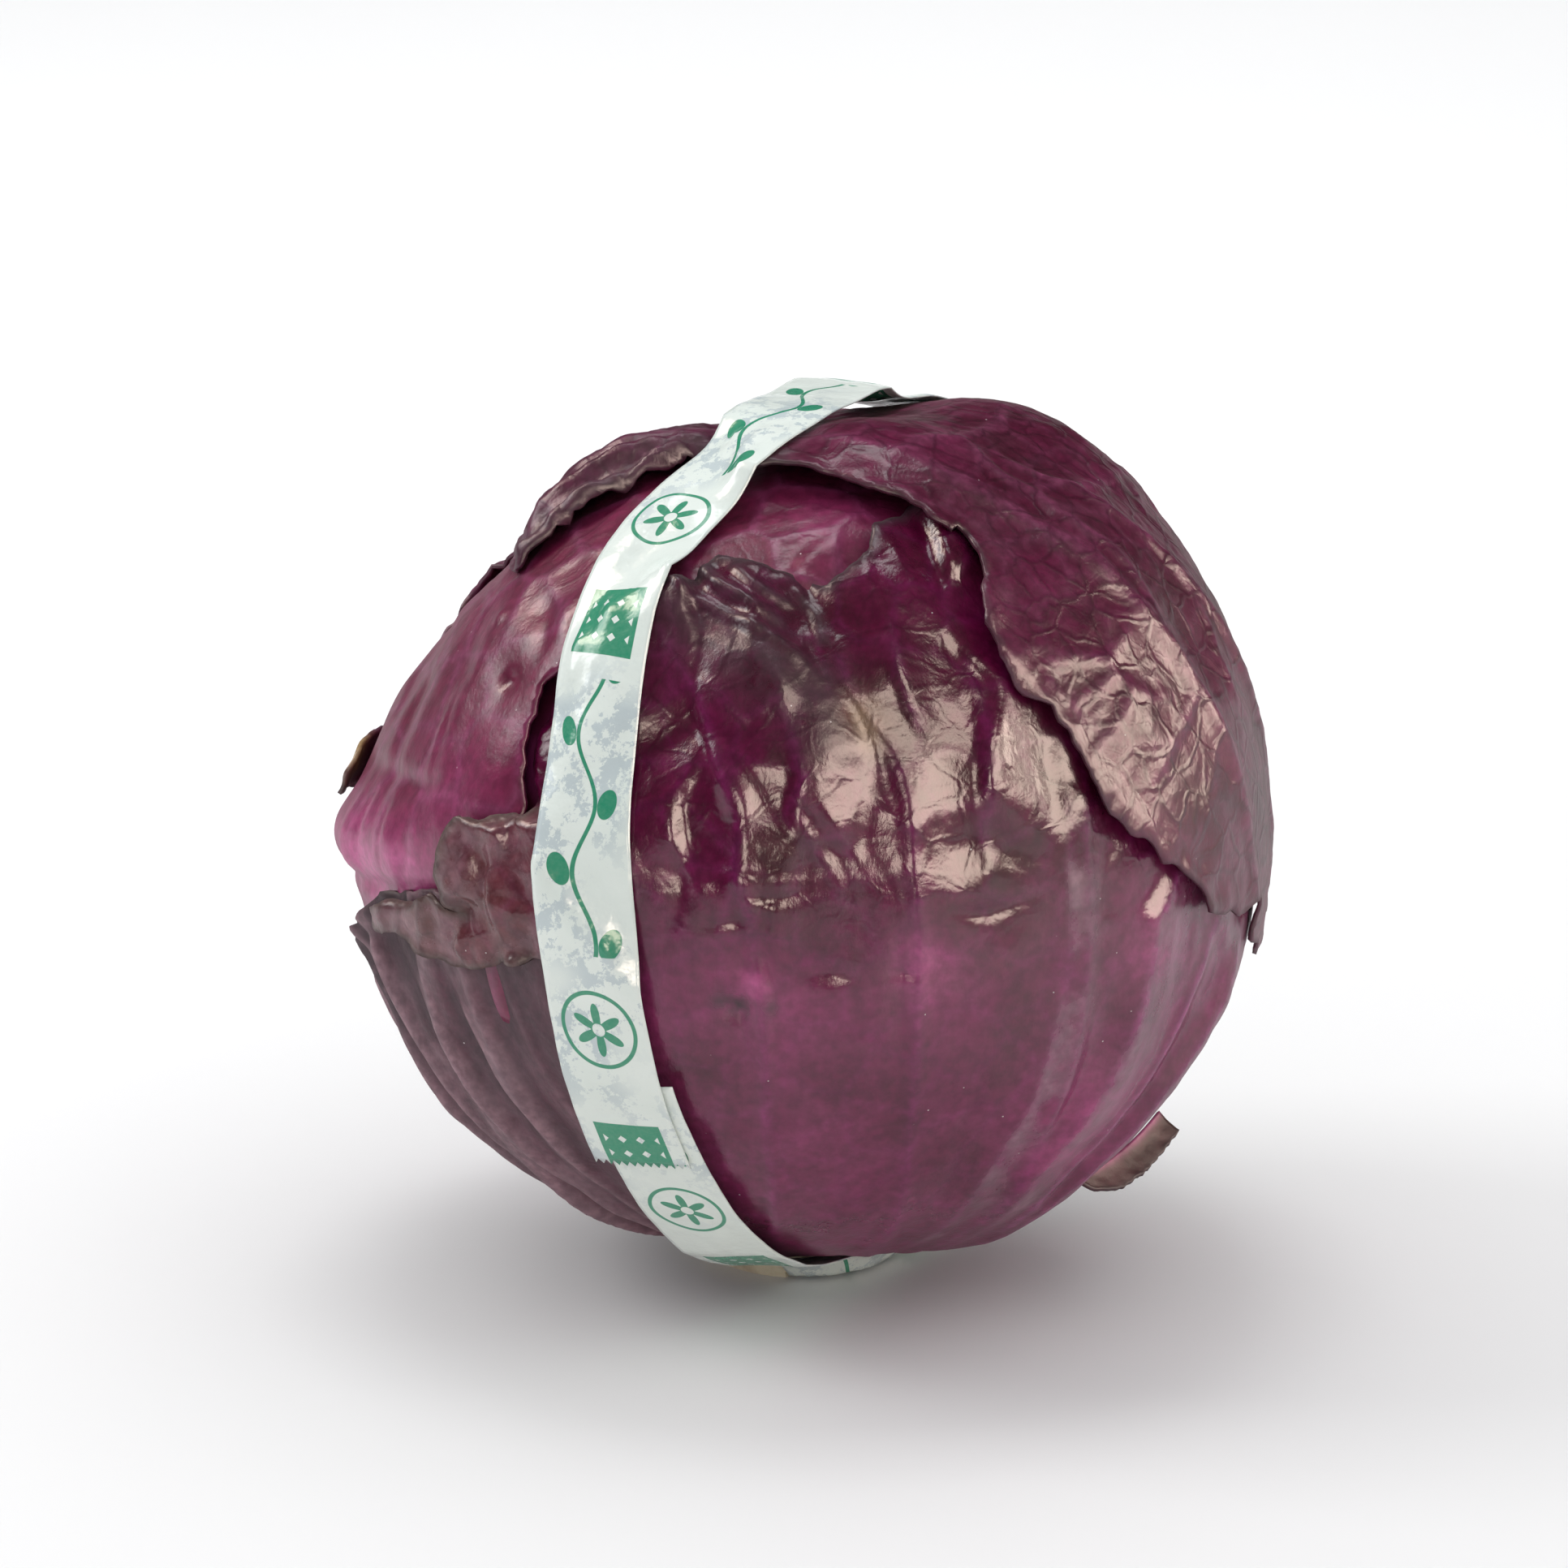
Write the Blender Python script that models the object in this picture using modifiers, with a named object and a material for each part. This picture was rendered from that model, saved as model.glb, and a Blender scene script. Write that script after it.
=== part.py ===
"""A red cabbage head standing on its cut stem, wrapped in its outer leaves, with a film band round it."""
import math

import bmesh
import bpy
import numpy as np
from mathutils import Vector
from mathutils.bvhtree import BVHTree
from mathutils.geometry import delaunay_2d_cdt

# Everything is designed in millimetres and turned into metres once, when a mesh is made.
MM = 0.001

# The head: middle height over the table, half width, half height, and its long swells and hollows,
# each as longitude, latitude, height and spread. Longitude 0 faces the front and grows to the right.
MIDDLE_Z = 62.5
HALF_WIDTH = 62.0
HALF_HEIGHT = 58.0
SWELLS = [
    (-84, 0, 1.5, 14),
    (-105, 34, -3.0, 22),
    (-108, 47, -4.6, 14),
    (-78, 26, -2.2, 20),
    (55, 35, 1.5, 30),
    (92, 5, -2.0, 18),
    (112, 52, 3.0, 18),
    (-178, 80, -6.4, 20),
    (0, -75, -2.0, 16),
]
CORE_DEPTH = 1.8

# A leaf's blade, the mesh step on it, and how high each leaf lies over the ones beneath.
BLADE = 0.8
STEP = 5.0
MAP_RADIUS = 64.0
LEFT_LEVEL = 0.0
LOWER_LEFT_LEVEL = 1.2
BACK_LEVEL = 1.2
FRONT_LEVEL = 3.0
BACK_LEFT_LEVEL = 3.0
WRAPPER_LEVEL = 4.8

# The cut stem under the head, and the hollow in its face where the band passes.
STEM_RADIUS = 13.0
STEM_TOP_RADIUS = 14.5
STEM_HEIGHT = 4.2
STEM_SIDES = 36
HOLLOW_EDGE = -4.4
HOLLOW_DEPTH = 0.9

# The film band: it runs round the head in an upright plane turned to this longitude. Its middle line is
# given as angle round that plane and distance sideways of it.
BAND_LONGITUDE = -30.4
BAND_WIDTH = 13.8
BAND_FILM = 0.45
BAND_CLEAR = 0.35
BAND_OVER_TABLE = 0.05
BAND_ROWS = 132
BAND_COLUMNS = 3
BAND_FINE = 3
BAND_START = -17.0
BAND_OVERLAP = 12.0
BAND_LINE = [
    (-17, -8.6),
    (-25, -10.3),
    (-39, -11.3),
    (-54, -12.4),
    (-90, -12.6),
    (-135, -10.0),
    (-180, -6.0),
    (-225, -1.0),
    (-245, 1.0),
    (-258, 0.5),
    (-270, -1.5),
    (-280, -2.6),
    (-292, -1.6),
    (-307, 1.8),
    (-321, 1.2),
    (-331, -0.6),
    (-341, -2.2),
    (-350, -3.8),
    (-359.5, -5.4),
    (-372, -7.0),
    (-389, -8.6),
]


def unit(lon, lat):
    """Unit vectors toward these longitudes and latitudes, in degrees."""
    lon, lat = np.radians(lon), np.radians(lat)
    return np.stack([np.cos(lat) * np.sin(lon), -np.cos(lat) * np.cos(lon), np.sin(lat)], axis=-1)


def swell(directions, lumps):
    """The sum of smooth lumps (longitude, latitude, height, spread in mm along the surface)."""
    total = np.zeros(len(directions))
    for lon, lat, height, spread in lumps:
        away = MAP_RADIUS * np.arccos(np.clip(directions @ unit(lon, lat), -1, 1))
        total += height * np.exp(-((away / spread) ** 2))
    return total


def head_radius(directions):
    """Distance from the head's middle to its surface, before any leaf's own level."""
    flat = (directions[:, 0] ** 2 + directions[:, 1] ** 2) / HALF_WIDTH**2
    return 1 / np.sqrt(flat + directions[:, 2] ** 2 / HALF_HEIGHT**2) + swell(directions, SWELLS)


class Chart:
    """A flat map of the head around one point: lengths from that point are true along the surface."""

    def __init__(self, lon, lat):
        self.out = unit(lon, lat)
        self.east = unit(lon + 90, 0)
        self.north = np.cross(self.out, self.east)

    def flat(self, directions):
        turn = np.arccos(np.clip(directions @ self.out, -1, 1))
        side = np.stack([directions @ self.east, directions @ self.north], axis=-1)
        return side * (MAP_RADIUS * turn / np.maximum(np.sin(turn), 1e-9))[:, None]

    def directions(self, flat):
        length = np.maximum(np.hypot(flat[:, 0], flat[:, 1]), 1e-9)
        turn = length / MAP_RADIUS
        side = (flat[:, :1] * self.east + flat[:, 1:] * self.north) / length[:, None]
        return np.cos(turn)[:, None] * self.out + np.sin(turn)[:, None] * side

    def place(self, points):
        """Longitudes and latitudes on the map."""
        return self.flat(unit(*np.array(points, float)[:, :2].T))


def rounded(points, step):
    """A smooth curve through the points, sampled about every step."""
    padded = np.vstack([2 * points[0] - points[1], points, 2 * points[-1] - points[-2]])
    line = []
    for before, start, end, after in zip(padded, padded[1:], padded[2:], padded[3:]):
        pieces = max(1, round(np.linalg.norm(end - start) / step))
        for t in np.arange(pieces) / pieces:
            bend = (end - before) * t + (2 * before - 5 * start + 4 * end - after) * t * t
            line.append(start + 0.5 * (bend + (3 * start - before - 3 * end + after) * t**3))
    return np.array(line)


def stepped(points, step):
    """Straight lines through the points, sampled about every step, without the last point."""
    line = []
    for start, end in zip(points, points[1:]):
        pieces = max(1, round(np.linalg.norm(end - start) / step))
        line += [start + (end - start) * t / pieces for t in range(pieces)]
    return np.array(line)


def to_line(flat, line):
    """For each map point: its distance to a polyline, and the place along it as segment number plus share."""
    best = np.full(len(flat), np.inf)
    where = np.zeros(len(flat))
    for number, (start, end) in enumerate(zip(line, line[1:])):
        along = end - start
        share = np.clip((flat - start) @ along / (along @ along), 0, 1)
        away = np.linalg.norm(flat - start - share[:, None] * along, axis=1)
        nearer = away < best
        best[nearer] = away[nearer]
        where[nearer] = number + share[nearer]
    return best, where


def ridges_on(chart, flat, ridges):
    """Height of ribs, folds and lifted margins: each is a width and (longitude, latitude, height) points."""
    total = np.zeros(len(flat))
    for width, points in ridges:
        away, where = to_line(flat, chart.place(points))
        heights = np.interp(where, np.arange(len(points)), [point[2] for point in points])
        total += heights * np.exp(-((away / width) ** 2))
    return total


def inside(flat, outline):
    """Which map points lie within a closed outline."""
    x, y = flat.T
    hit = np.zeros(len(flat), bool)
    for (x0, y0), (x1, y1) in zip(outline, np.roll(outline, -1, axis=0)):
        crosses = (y0 > y) != (y1 > y)
        hit ^= crosses & (x < (x1 - x0) * (y - y0) / np.where(y1 == y0, 1, y1 - y0) + x0)
    return hit


def blade_mesh(chart, outline, ridges):
    """Map points and triangles that fill an outline, with rows of points along each ridge."""
    rows = [outline]
    for width, points in ridges:
        line = stepped(chart.place(points), STEP)
        for candidate in line:
            near = min(np.linalg.norm(np.vstack(rows) - candidate, axis=1))
            if near > STEP * 0.6 and inside(candidate[None], outline)[0]:
                rows.append(candidate[None])
    low, high = outline.min(axis=0), outline.max(axis=0)
    row_step = STEP * math.sqrt(3) / 2
    grid = [
        (low[0] + (column + 0.5 * (row % 2)) * STEP, low[1] + row * row_step)
        for row in range(int((high[1] - low[1]) / row_step) + 1)
        for column in range(int((high[0] - low[0]) / STEP) + 1)
    ]
    grid = np.array(grid)
    grid = grid[inside(grid, outline)]
    fixed = np.vstack(rows)
    gap = np.linalg.norm(grid[:, None] - fixed[None], axis=2).min(axis=1)
    flat = np.vstack([fixed, grid[gap > STEP * 0.62]])
    loop = list(range(len(outline)))
    verts, _, faces, *_ = delaunay_2d_cdt([Vector(point) for point in flat], [], [loop], 1, 1e-6)
    return np.array([tuple(point) for point in verts]), [list(face) for face in faces]


def material(name, colour, roughness):
    made = bpy.data.materials.new(name)
    made.use_nodes = True
    shader = made.node_tree.nodes["Principled BSDF"]
    shader.inputs["Base Color"].default_value = (*colour, 1)
    shader.inputs["Roughness"].default_value = roughness
    shader.inputs["Metallic"].default_value = 0.0
    return made


def add_object(name, points, faces, look):
    """An object from points in mm measured from the head's middle."""
    mesh = bpy.data.meshes.new(name)
    world = (np.asarray(points) + [0, 0, MIDDLE_Z]) * MM
    mesh.from_pydata([tuple(point) for point in world], [], faces)
    mesh.materials.append(look)
    made = bpy.data.objects.new(name, mesh)
    collection.objects.link(made)
    return made


def thicken(made, thickness):
    """Gives a sheet its thickness inward of the surface as modelled."""
    solid = made.modifiers.new("thickness", "SOLIDIFY")
    solid.thickness = thickness * MM
    solid.offset = -1
    return made


def leaf(name, middle, torn, plain, level, ridges, lumps, look):
    """A leaf laid round the head. torn and plain are the two parts of its margin, joined end to end."""
    chart = Chart(*middle)
    whole = chart.place(plain)
    outline = stepped(chart.place(torn + plain[:1]), STEP * 0.8)
    outline = np.vstack([outline, rounded(whole, STEP), stepped(np.vstack([whole[-1], chart.place(torn[:1])]), STEP)])
    flat, faces = blade_mesh(chart, outline, ridges)
    directions = chart.directions(flat)
    height = level + ridges_on(chart, flat, ridges) + swell(directions, lumps)
    points = directions * (head_radius(directions) + height)[:, None]
    corners = points[np.array(faces)]
    turned = np.cross(corners[:, 1] - corners[:, 0], corners[:, 2] - corners[:, 0])
    if (turned * corners[:, 0]).sum() < 0:
        faces = [face[::-1] for face in faces]
    laid.append((points, faces))
    return thicken(add_object(name, points, faces, look), BLADE)


for old in list(bpy.data.objects):
    bpy.data.objects.remove(old, do_unlink=True)
collection = bpy.data.collections.new("cabbage_head")
bpy.context.scene.collection.children.link(collection)
cutters = bpy.data.collections.new("cutters")
bpy.context.scene.collection.children.link(cutters)

# Each leaf's outer surface as laid, which the band is stretched over.
laid = []

# Inner head
core = bmesh.new()
bmesh.ops.create_icosphere(core, subdivisions=4, radius=1)
core_directions = np.array([tuple(v.co.normalized()) for v in core.verts])
core_faces = [[v.index for v in face.verts] for face in core.faces]
core.free()
core_points = core_directions * (head_radius(core_directions) - CORE_DEPTH)[:, None]
core_points[:, 2] = np.maximum(core_points[:, 2], STEM_HEIGHT + 0.6 - MIDDLE_Z)
laid.append((core_points, core_faces))
add_object("inner_head", core_points, core_faces, material("inner_leaf", (0.12, 0.01, 0.05), 0.35))

# Upper left leaf, with the swollen rib at its heel and the dome it makes over the top
left_leaf = leaf(
    "left_leaf",
    (-45, 40),
    [(-28, -10), (-24, 5), (-22, 20), (-20, 33), (-8, 38)],
    [(8, 36), (20, 42), (34, 46), (45, 55), (60, 68), (120, 80), (-150, 80), (-125, 60), (-127, 42),
     (-129, 22), (-124, 0), (-106, -16), (-70, -16), (-40, -14)],
    LEFT_LEVEL,
    [
        (6.0, [(-92, 0, 2.6), (-78, 2, 2.8), (-66, 5, 1.8), (-55, 8, 0.5)]),
        (3.5, [(-60, 38, 0.4), (-57, 22, 1.3), (-55, 8, 0.5)]),
        (3.5, [(-70, 30, 0.3), (-69, 15, 1.0), (-66, 4, 0.5)]),
    ],
    [(5, 57, 1.6, 14), (-46, 20, 1.0, 10), (-40, 40, 1.0, 12)],
    material("left_leaf", (0.19, 0.05, 0.09), 0.32),
)

# Lower left leaf, dry and fluted
fluted_leaf = leaf(
    "fluted_leaf",
    (-60, -35),
    [(-45, 3), (-60, 0), (-66, -2), (-72, -7), (-80, -12), (-92, -16)],
    [(-106, -15), (-120, -20), (-124, -40), (-117, -58), (-108, -70), (-85, -74), (-45, -75), (-22, -74),
     (-10, -60), (-8, -40), (-12, -20), (-16, -8), (-22, 3)],
    LOWER_LEFT_LEVEL,
    [
        (3.0, [(-88, -20, 0.6), (-84, -40, 1.2), (-74, -62, 0.7)]),
        (2.6, [(-77, -13, 0.9), (-69, -35, 1.2), (-56, -56, 0.8), (-46, -70, 0.4)]),
        (2.6, [(-69, -10, 0.8), (-60, -30, 1.1), (-49, -50, 0.8), (-36, -68, 0.4)]),
        (2.6, [(-59, -12, 0.3), (-51, -30, 0.9), (-41, -50, 0.7), (-30, -68, 0.3)]),
        (2.4, [(-49, -14, 0.2), (-41, -30, 0.5), (-33, -50, 0.4)]),
        (3.0, [(-66, -2, 0.6), (-74, -8, 1.4), (-82, -13, 1.0)]),
    ],
    [],
    material("fluted_leaf", (0.13, 0.06, 0.08), 0.42),
)

# Back leaf
back_leaf = leaf(
    "back_leaf",
    (150, -25),
    [(96, 12), (105, 16)],
    [(120, 20), (150, 25), (175, 25), (-172, 10), (-168, -15), (-170, -40), (178, -60), (172, -74),
     (140, -75), (112, -74), (104, -60), (98, -40), (94, -20), (92, 0)],
    BACK_LEVEL,
    [
        (3.0, [(140, 15, 0.3), (141, -20, 0.9), (142, -50, 1.0), (142, -70, 0.6)]),
        (3.0, [(128, -5, 0.2), (130, -30, 0.6), (135, -60, 0.6)]),
        (3.0, [(160, 5, 0.2), (156, -30, 0.6), (150, -60, 0.5)]),
    ],
    [],
    material("back_leaf", (0.12, 0.03, 0.07), 0.36),
)

# Front leaf, with its dried fold at the top and the flap on the left
front_leaf = leaf(
    "front_leaf",
    (20, -10),
    [(-32, 40), (-24, 44.5), (-22, 46.5), (-19.5, 49.5), (-17.5, 51.5), (-11, 50.5), (-2, 48.5), (4, 47),
     (7, 48), (10.5, 50), (13.5, 53), (14.5, 55), (18.5, 56), (25.5, 57.5)],
    [(36, 59), (42, 52), (39, 38), (42, 30), (49, 20), (59, 10), (72, 6), (88, 4), (104, 0), (114, -10),
     (117, -30), (112, -50), (106, -66), (95, -74), (40, -75), (0, -75), (-14, -73), (-17, -62), (-21, -50),
     (-24, -38), (-27, -25), (-29, -12), (-32, -4), (-40, -5), (-48, -6.5), (-54, -6), (-62, -5), (-66, -3),
     (-60, -1), (-53, 1), (-47, 0.5), (-49.5, 5), (-48, 10), (-46, 12), (-40, 13.5), (-38.5, 14.5), (-40.5, 19),
     (-41, 24), (-41, 30)],
    FRONT_LEVEL,
    [
        (2.6, [(-13, 32, 0.5), (-8.5, 18.5, 0.9), (-6, 11, 0.9), (-5, -6, 0.8), (-5, -25, 0.5), (-6, -66, 0.4)]),
        (2.8, [(9, 41, 0.4), (12, 33, 0.8), (13.5, 21, 1.2), (13.5, -8, 0.8), (14, -25, 0.5), (18, -66, 0.4)]),
        (2.6, [(25, 32, 0.3), (25, 20, 0.9), (22, 10, 0.6)]),
        (2.8, [(35.5, 15, 0.3), (35, -16, 0.7), (34, -41, 0.5), (32, -66, 0.4)]),
        (2.6, [(50, 3, 0.4), (46, 0, 0.9), (43, -16.5, 1.3), (36, -34, 1.2), (38, -55, 0.9), (40, -68, 0.5)]),
        (3.6, [(69, -10, 0.5), (65, -18, 1.3), (56, -28, 1.5), (47, -45, 1.3), (46, -66, 0.6)]),
        (4.0, [(92, -12, 0.3), (93, -28, 0.9), (86, -48, 1.0), (70, -66, 0.5)]),
        (2.0, [(-24, 44, 1.4), (-19, 48, 1.8), (-10, 42, 1.2), (-3, 36, 0.6)]),
    ],
    [
        (-14, 13, -1.8, 7), (-1, 11, -1.0, 5), (6, 14, -1.6, 6), (18, 13, -1.8, 6), (-16, 26, -1.4, 6),
        (2, 26, 1.2, 6), (31, 18, 1.2, 7), (20, 44, 0.8, 8), (-2, 2, -0.8, 6), (24, 3, -0.9, 6),
        (-45, 6, 1.2, 7), (-60, -3, 1.2, 6),
    ],
    material("front_leaf", (0.13, 0.02, 0.06), 0.3),
)

# Back left leaf, with its rolled margin along the top
rolled_leaf = leaf(
    "rolled_leaf",
    (-130, 15),
    [(-118, 16), (-106, 13), (-97, 15), (-91, 13.5), (-89, 9), (-92, 4), (-99, 4), (-108, -1)],
    [(-112, -15), (-110, -35), (-112, -55), (-116, -73), (-140, -75), (-165, -74), (-172, -60),
     (-176, -45), (178, -20), (174, 10), (170, 32), (164, 55), (140, 76), (-60, 80), (-42, 72), (-43, 62),
     (-54, 56), (-62, 48), (-62, 42), (-76, 42), (-92, 42), (-108, 39), (-119, 33), (-120, 25)],
    BACK_LEFT_LEVEL,
    [
        (2.6, [(-62, 42, 1.2), (-64, 49, 2.0), (-69, 56, 2.4), (-76, 64, 2.2), (-80, 74, 1.4)]),
        (2.2, [(-57, 52, 1.0), (-48, 59, 1.8), (-43, 65, 1.6), (-42, 71, 1.0)]),
        (3.2, [(-135, 60, 0.3), (-136, 20, 0.9), (-138, -30, 1.0), (-140, -68, 0.6)]),
        (3.0, [(-118, 35, 0.2), (-122, 0, 0.7), (-128, -40, 0.7), (-134, -68, 0.4)]),
        (3.0, [(-160, 40, 0.2), (-158, 0, 0.7), (-152, -40, 0.7), (-146, -68, 0.4)]),
    ],
    [(-104, 10, -1.4, 10), (-88, 44, -0.8, 12)],
    material("rolled_leaf", (0.12, 0.04, 0.07), 0.38),
)

# Wrapper leaf over the upper right, standing off along its torn margin
wrapper_leaf = leaf(
    "wrapper_leaf",
    (75, 35),
    [(-25, 75), (-14, 66), (-7, 66.5), (3.5, 64.5), (8, 64), (15.5, 61.5), (21.5, 58), (25, 55.5), (26.5, 53),
     (29, 51), (31, 52), (31.5, 49.5), (31, 46), (29, 42.5), (27.5, 38), (27, 33), (30, 29), (33, 27),
     (34.5, 24), (36, 19), (37.5, 15), (41, 11), (45.5, 7), (48, 6.5), (51.5, 3.5), (54, -1), (59.5, -2),
     (62, -3.5), (71, -3), (72, -9)],
    [(80, -13), (92, -9), (105, -14), (120, -20), (138, -15), (152, -3), (165, 12), (178, 30), (-174, 50),
     (-165, 68), (-120, 82), (-50, 82)],
    WRAPPER_LEVEL,
    [
        (3.0, [(15.5, 61.5, 0.2), (26.5, 53, 0.9), (31, 46, 1.1), (27.5, 36, 1.2), (33, 27, 1.2), (37, 17, 1.0),
               (46, 7, 0.8), (55, -1, 0.9), (70, -4, 0.7)]),
        (2.4, [(56, 2, 0.5), (48, 18, 0.7), (42, 32, 0.8), (36, 45, 0.6), (30, 58, 0.3)]),
        (2.6, [(68, -2, 0.6), (63, 18, 0.9), (58, 33, 1.0), (50, 48, 0.8), (34, 62, 0.6), (10, 72, 0.3)]),
        (2.6, [(88, -6, 0.5), (82, 20, 0.9), (76, 40, 1.0), (62, 60, 0.7)]),
        (2.6, [(112, -12, 0.5), (106, 20, 0.8), (104, 45, 0.6)]),
        (2.6, [(140, -8, 0.4), (132, 25, 0.7), (130, 50, 0.5)]),
    ],
    [(35, 70, 1.5, 12), (116, 62, 1.5, 13), (50, 10, 0.6, 8), (60, 45, 0.8, 9)],
    material("wrapper_leaf", (0.1, 0.035, 0.06), 0.34),
)

# Base of a leaf that was broken off low on the right, still standing out from the head
STUB_ROOT = [(55, -42.5), (63, -41), (70, -39.5), (78, -36.5)]
STUB_GAP = 0.8
STUB_LENGTH = 4.2
STUB_SAG = 1.4
STUB_ROWS = 5
stub_line = rounded(np.array(STUB_ROOT, float), 3.0)
stub_directions = unit(*stub_line.T)
stub_root = stub_directions * (head_radius(stub_directions) + FRONT_LEVEL + STUB_GAP)[:, None]
stub_columns = len(stub_line)
taper = 1 - np.abs(np.linspace(-1, 1, stub_columns)) ** 3 * np.linspace(0.8, 0.1, stub_columns)
stub_points = []
for share in np.linspace(0, 1, STUB_ROWS):
    reach_out = stub_directions * (STUB_LENGTH * share * taper)[:, None]
    sag = np.array([0, 0, -1]) * STUB_SAG * math.sin(math.pi * 0.7 * share)
    stub_points.append(stub_root + reach_out + sag * taper[:, None])
stub_faces = []
for row in range(STUB_ROWS - 1):
    for column in range(stub_columns - 1):
        corner = row * stub_columns + column
        below = corner + stub_columns
        stub_faces += [[corner, below, corner + 1], [corner + 1, below, below + 1]]
leaf_stub = thicken(
    add_object("leaf_stub", np.vstack(stub_points), stub_faces, material("leaf_stub", (0.12, 0.02, 0.06), 0.4)), BLADE
)

# Cut stem, with the hollow that the band passes through
STEM_LOOK = material("cut_stem", (0.62, 0.55, 0.42), 0.7)
stump = bmesh.new()
bmesh.ops.create_cone(
    stump, cap_ends=True, segments=STEM_SIDES, radius1=STEM_RADIUS * MM, radius2=STEM_TOP_RADIUS * MM,
    depth=STEM_HEIGHT * MM,
)
stem_mesh = bpy.data.meshes.new("stem")
stump.to_mesh(stem_mesh)
stump.free()
stem_mesh.materials.append(STEM_LOOK)
stem = bpy.data.objects.new("stem", stem_mesh)
stem.location.z = STEM_HEIGHT / 2 * MM
collection.objects.link(stem)
sideways = np.array([-math.cos(math.radians(BAND_LONGITUDE)), -math.sin(math.radians(BAND_LONGITUDE)), 0])
onward = np.array([math.sin(math.radians(BAND_LONGITUDE)), -math.cos(math.radians(BAND_LONGITUDE)), 0])
hollow = bmesh.new()
bmesh.ops.create_cube(hollow, size=1)
hollow_mesh = bpy.data.meshes.new("band_hollow")
hollow.to_mesh(hollow_mesh)
hollow.free()
cutter = bpy.data.objects.new("band_hollow", hollow_mesh)
cutter.scale = (40 * MM, 60 * MM, 2 * HOLLOW_DEPTH * MM)
cutter.rotation_euler.z = math.atan2(sideways[1], sideways[0])
cutter.location = Vector(sideways * (HOLLOW_EDGE - 20) * MM)
cutter.hide_render = True
cutters.objects.link(cutter)
cut = stem.modifiers.new("band_hollow", "BOOLEAN")
cut.object = cutter
cut.solver = "EXACT"

# Film band, one strip wound once round with its end over its start. It is laid on what lies highest
# around each of its points, found on a finer grid of rays, and then drawn smooth like a taut film.
hollow_floor = HOLLOW_DEPTH - MIDDLE_Z
corners = np.linspace(0, 2 * math.pi, STEM_SIDES, endpoint=False)
stem_face = np.stack([STEM_RADIUS * np.cos(corners), STEM_RADIUS * np.sin(corners)], axis=-1)
laid.append((np.insert(stem_face, 2, hollow_floor, axis=1), [list(range(STEM_SIDES))]))
surfaces = [BVHTree.FromPolygons([Vector(point) for point in points], faces) for points, faces in laid]
fine_rows = (BAND_ROWS - 1) * BAND_FINE + 1
fine_columns = BAND_COLUMNS * BAND_FINE + 1
turns = np.linspace(BAND_START, BAND_START - 360 - BAND_OVERLAP, fine_rows)
line_turns, line_offsets = np.array(BAND_LINE, float)[::-1].T
offsets = np.convolve(np.pad(np.interp(turns, line_turns, line_offsets), 4, "edge"), np.ones(9) / 9, "valid")
across = offsets[:, None] + BAND_WIDTH * np.linspace(0.5, -0.5, fine_columns)
upright = np.cos(np.radians(turns))[:, None] * onward + np.sin(np.radians(turns))[:, None] * np.array([0, 0, 1])
rays = upright[:, None] * MAP_RADIUS + across[:, :, None] * sideways
rays /= np.linalg.norm(rays, axis=2, keepdims=True)
reach = np.zeros((fine_rows, fine_columns))
for row in range(fine_rows):
    for column in range(fine_columns):
        ray = Vector(rays[row, column])
        hits = [tree.ray_cast(ray * 2 * MAP_RADIUS, -ray)[0] for tree in surfaces]
        reach[row, column] = max(hit.length for hit in hits if hit)
highest = reach.copy()
for _ in range(BAND_FINE):
    padded = np.pad(highest, 1, "edge")
    shifts = [padded[r : r + fine_rows, c : c + fine_columns] for r in range(3) for c in range(3)]
    highest = np.max(shifts, axis=0)
need = highest[::BAND_FINE, ::BAND_FINE] + BAND_CLEAR
rays = rays[::BAND_FINE, ::BAND_FINE]
film = need.copy()
for _ in range(6):
    padded = np.pad(film, 1, "edge")
    film = (padded[:-2, 1:-1] + padded[2:, 1:-1] + padded[1:-1, :-2] + padded[1:-1, 2:]) / 4
    film = np.maximum(film, need)
raised = np.clip((BAND_START - 354 - turns[::BAND_FINE]) / 5, 0, 1) * (BAND_FILM + BAND_CLEAR)
film += BAND_FILM + raised[:, None]
table = (MIDDLE_Z - BAND_OVER_TABLE) / np.maximum(-rays[:, :, 2], 0.1)
film = np.minimum(film, table)
band_points = (rays * film[:, :, None]).reshape(-1, 3)
band_faces = []
for row in range(BAND_ROWS - 1):
    for column in range(BAND_COLUMNS):
        corner = row * (BAND_COLUMNS + 1) + column
        below = corner + BAND_COLUMNS + 1
        band_faces += [[corner, below, corner + 1], [corner + 1, below, below + 1]]
film_band = thicken(add_object("film_band", band_points, band_faces, material("film", (0.72, 0.75, 0.71), 0.25)), BAND_FILM)
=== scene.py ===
import math

import bpy
import numpy as np
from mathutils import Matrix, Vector
from mathutils.bvhtree import BVHTree
from mathutils.geometry import delaunay_2d_cdt


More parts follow.
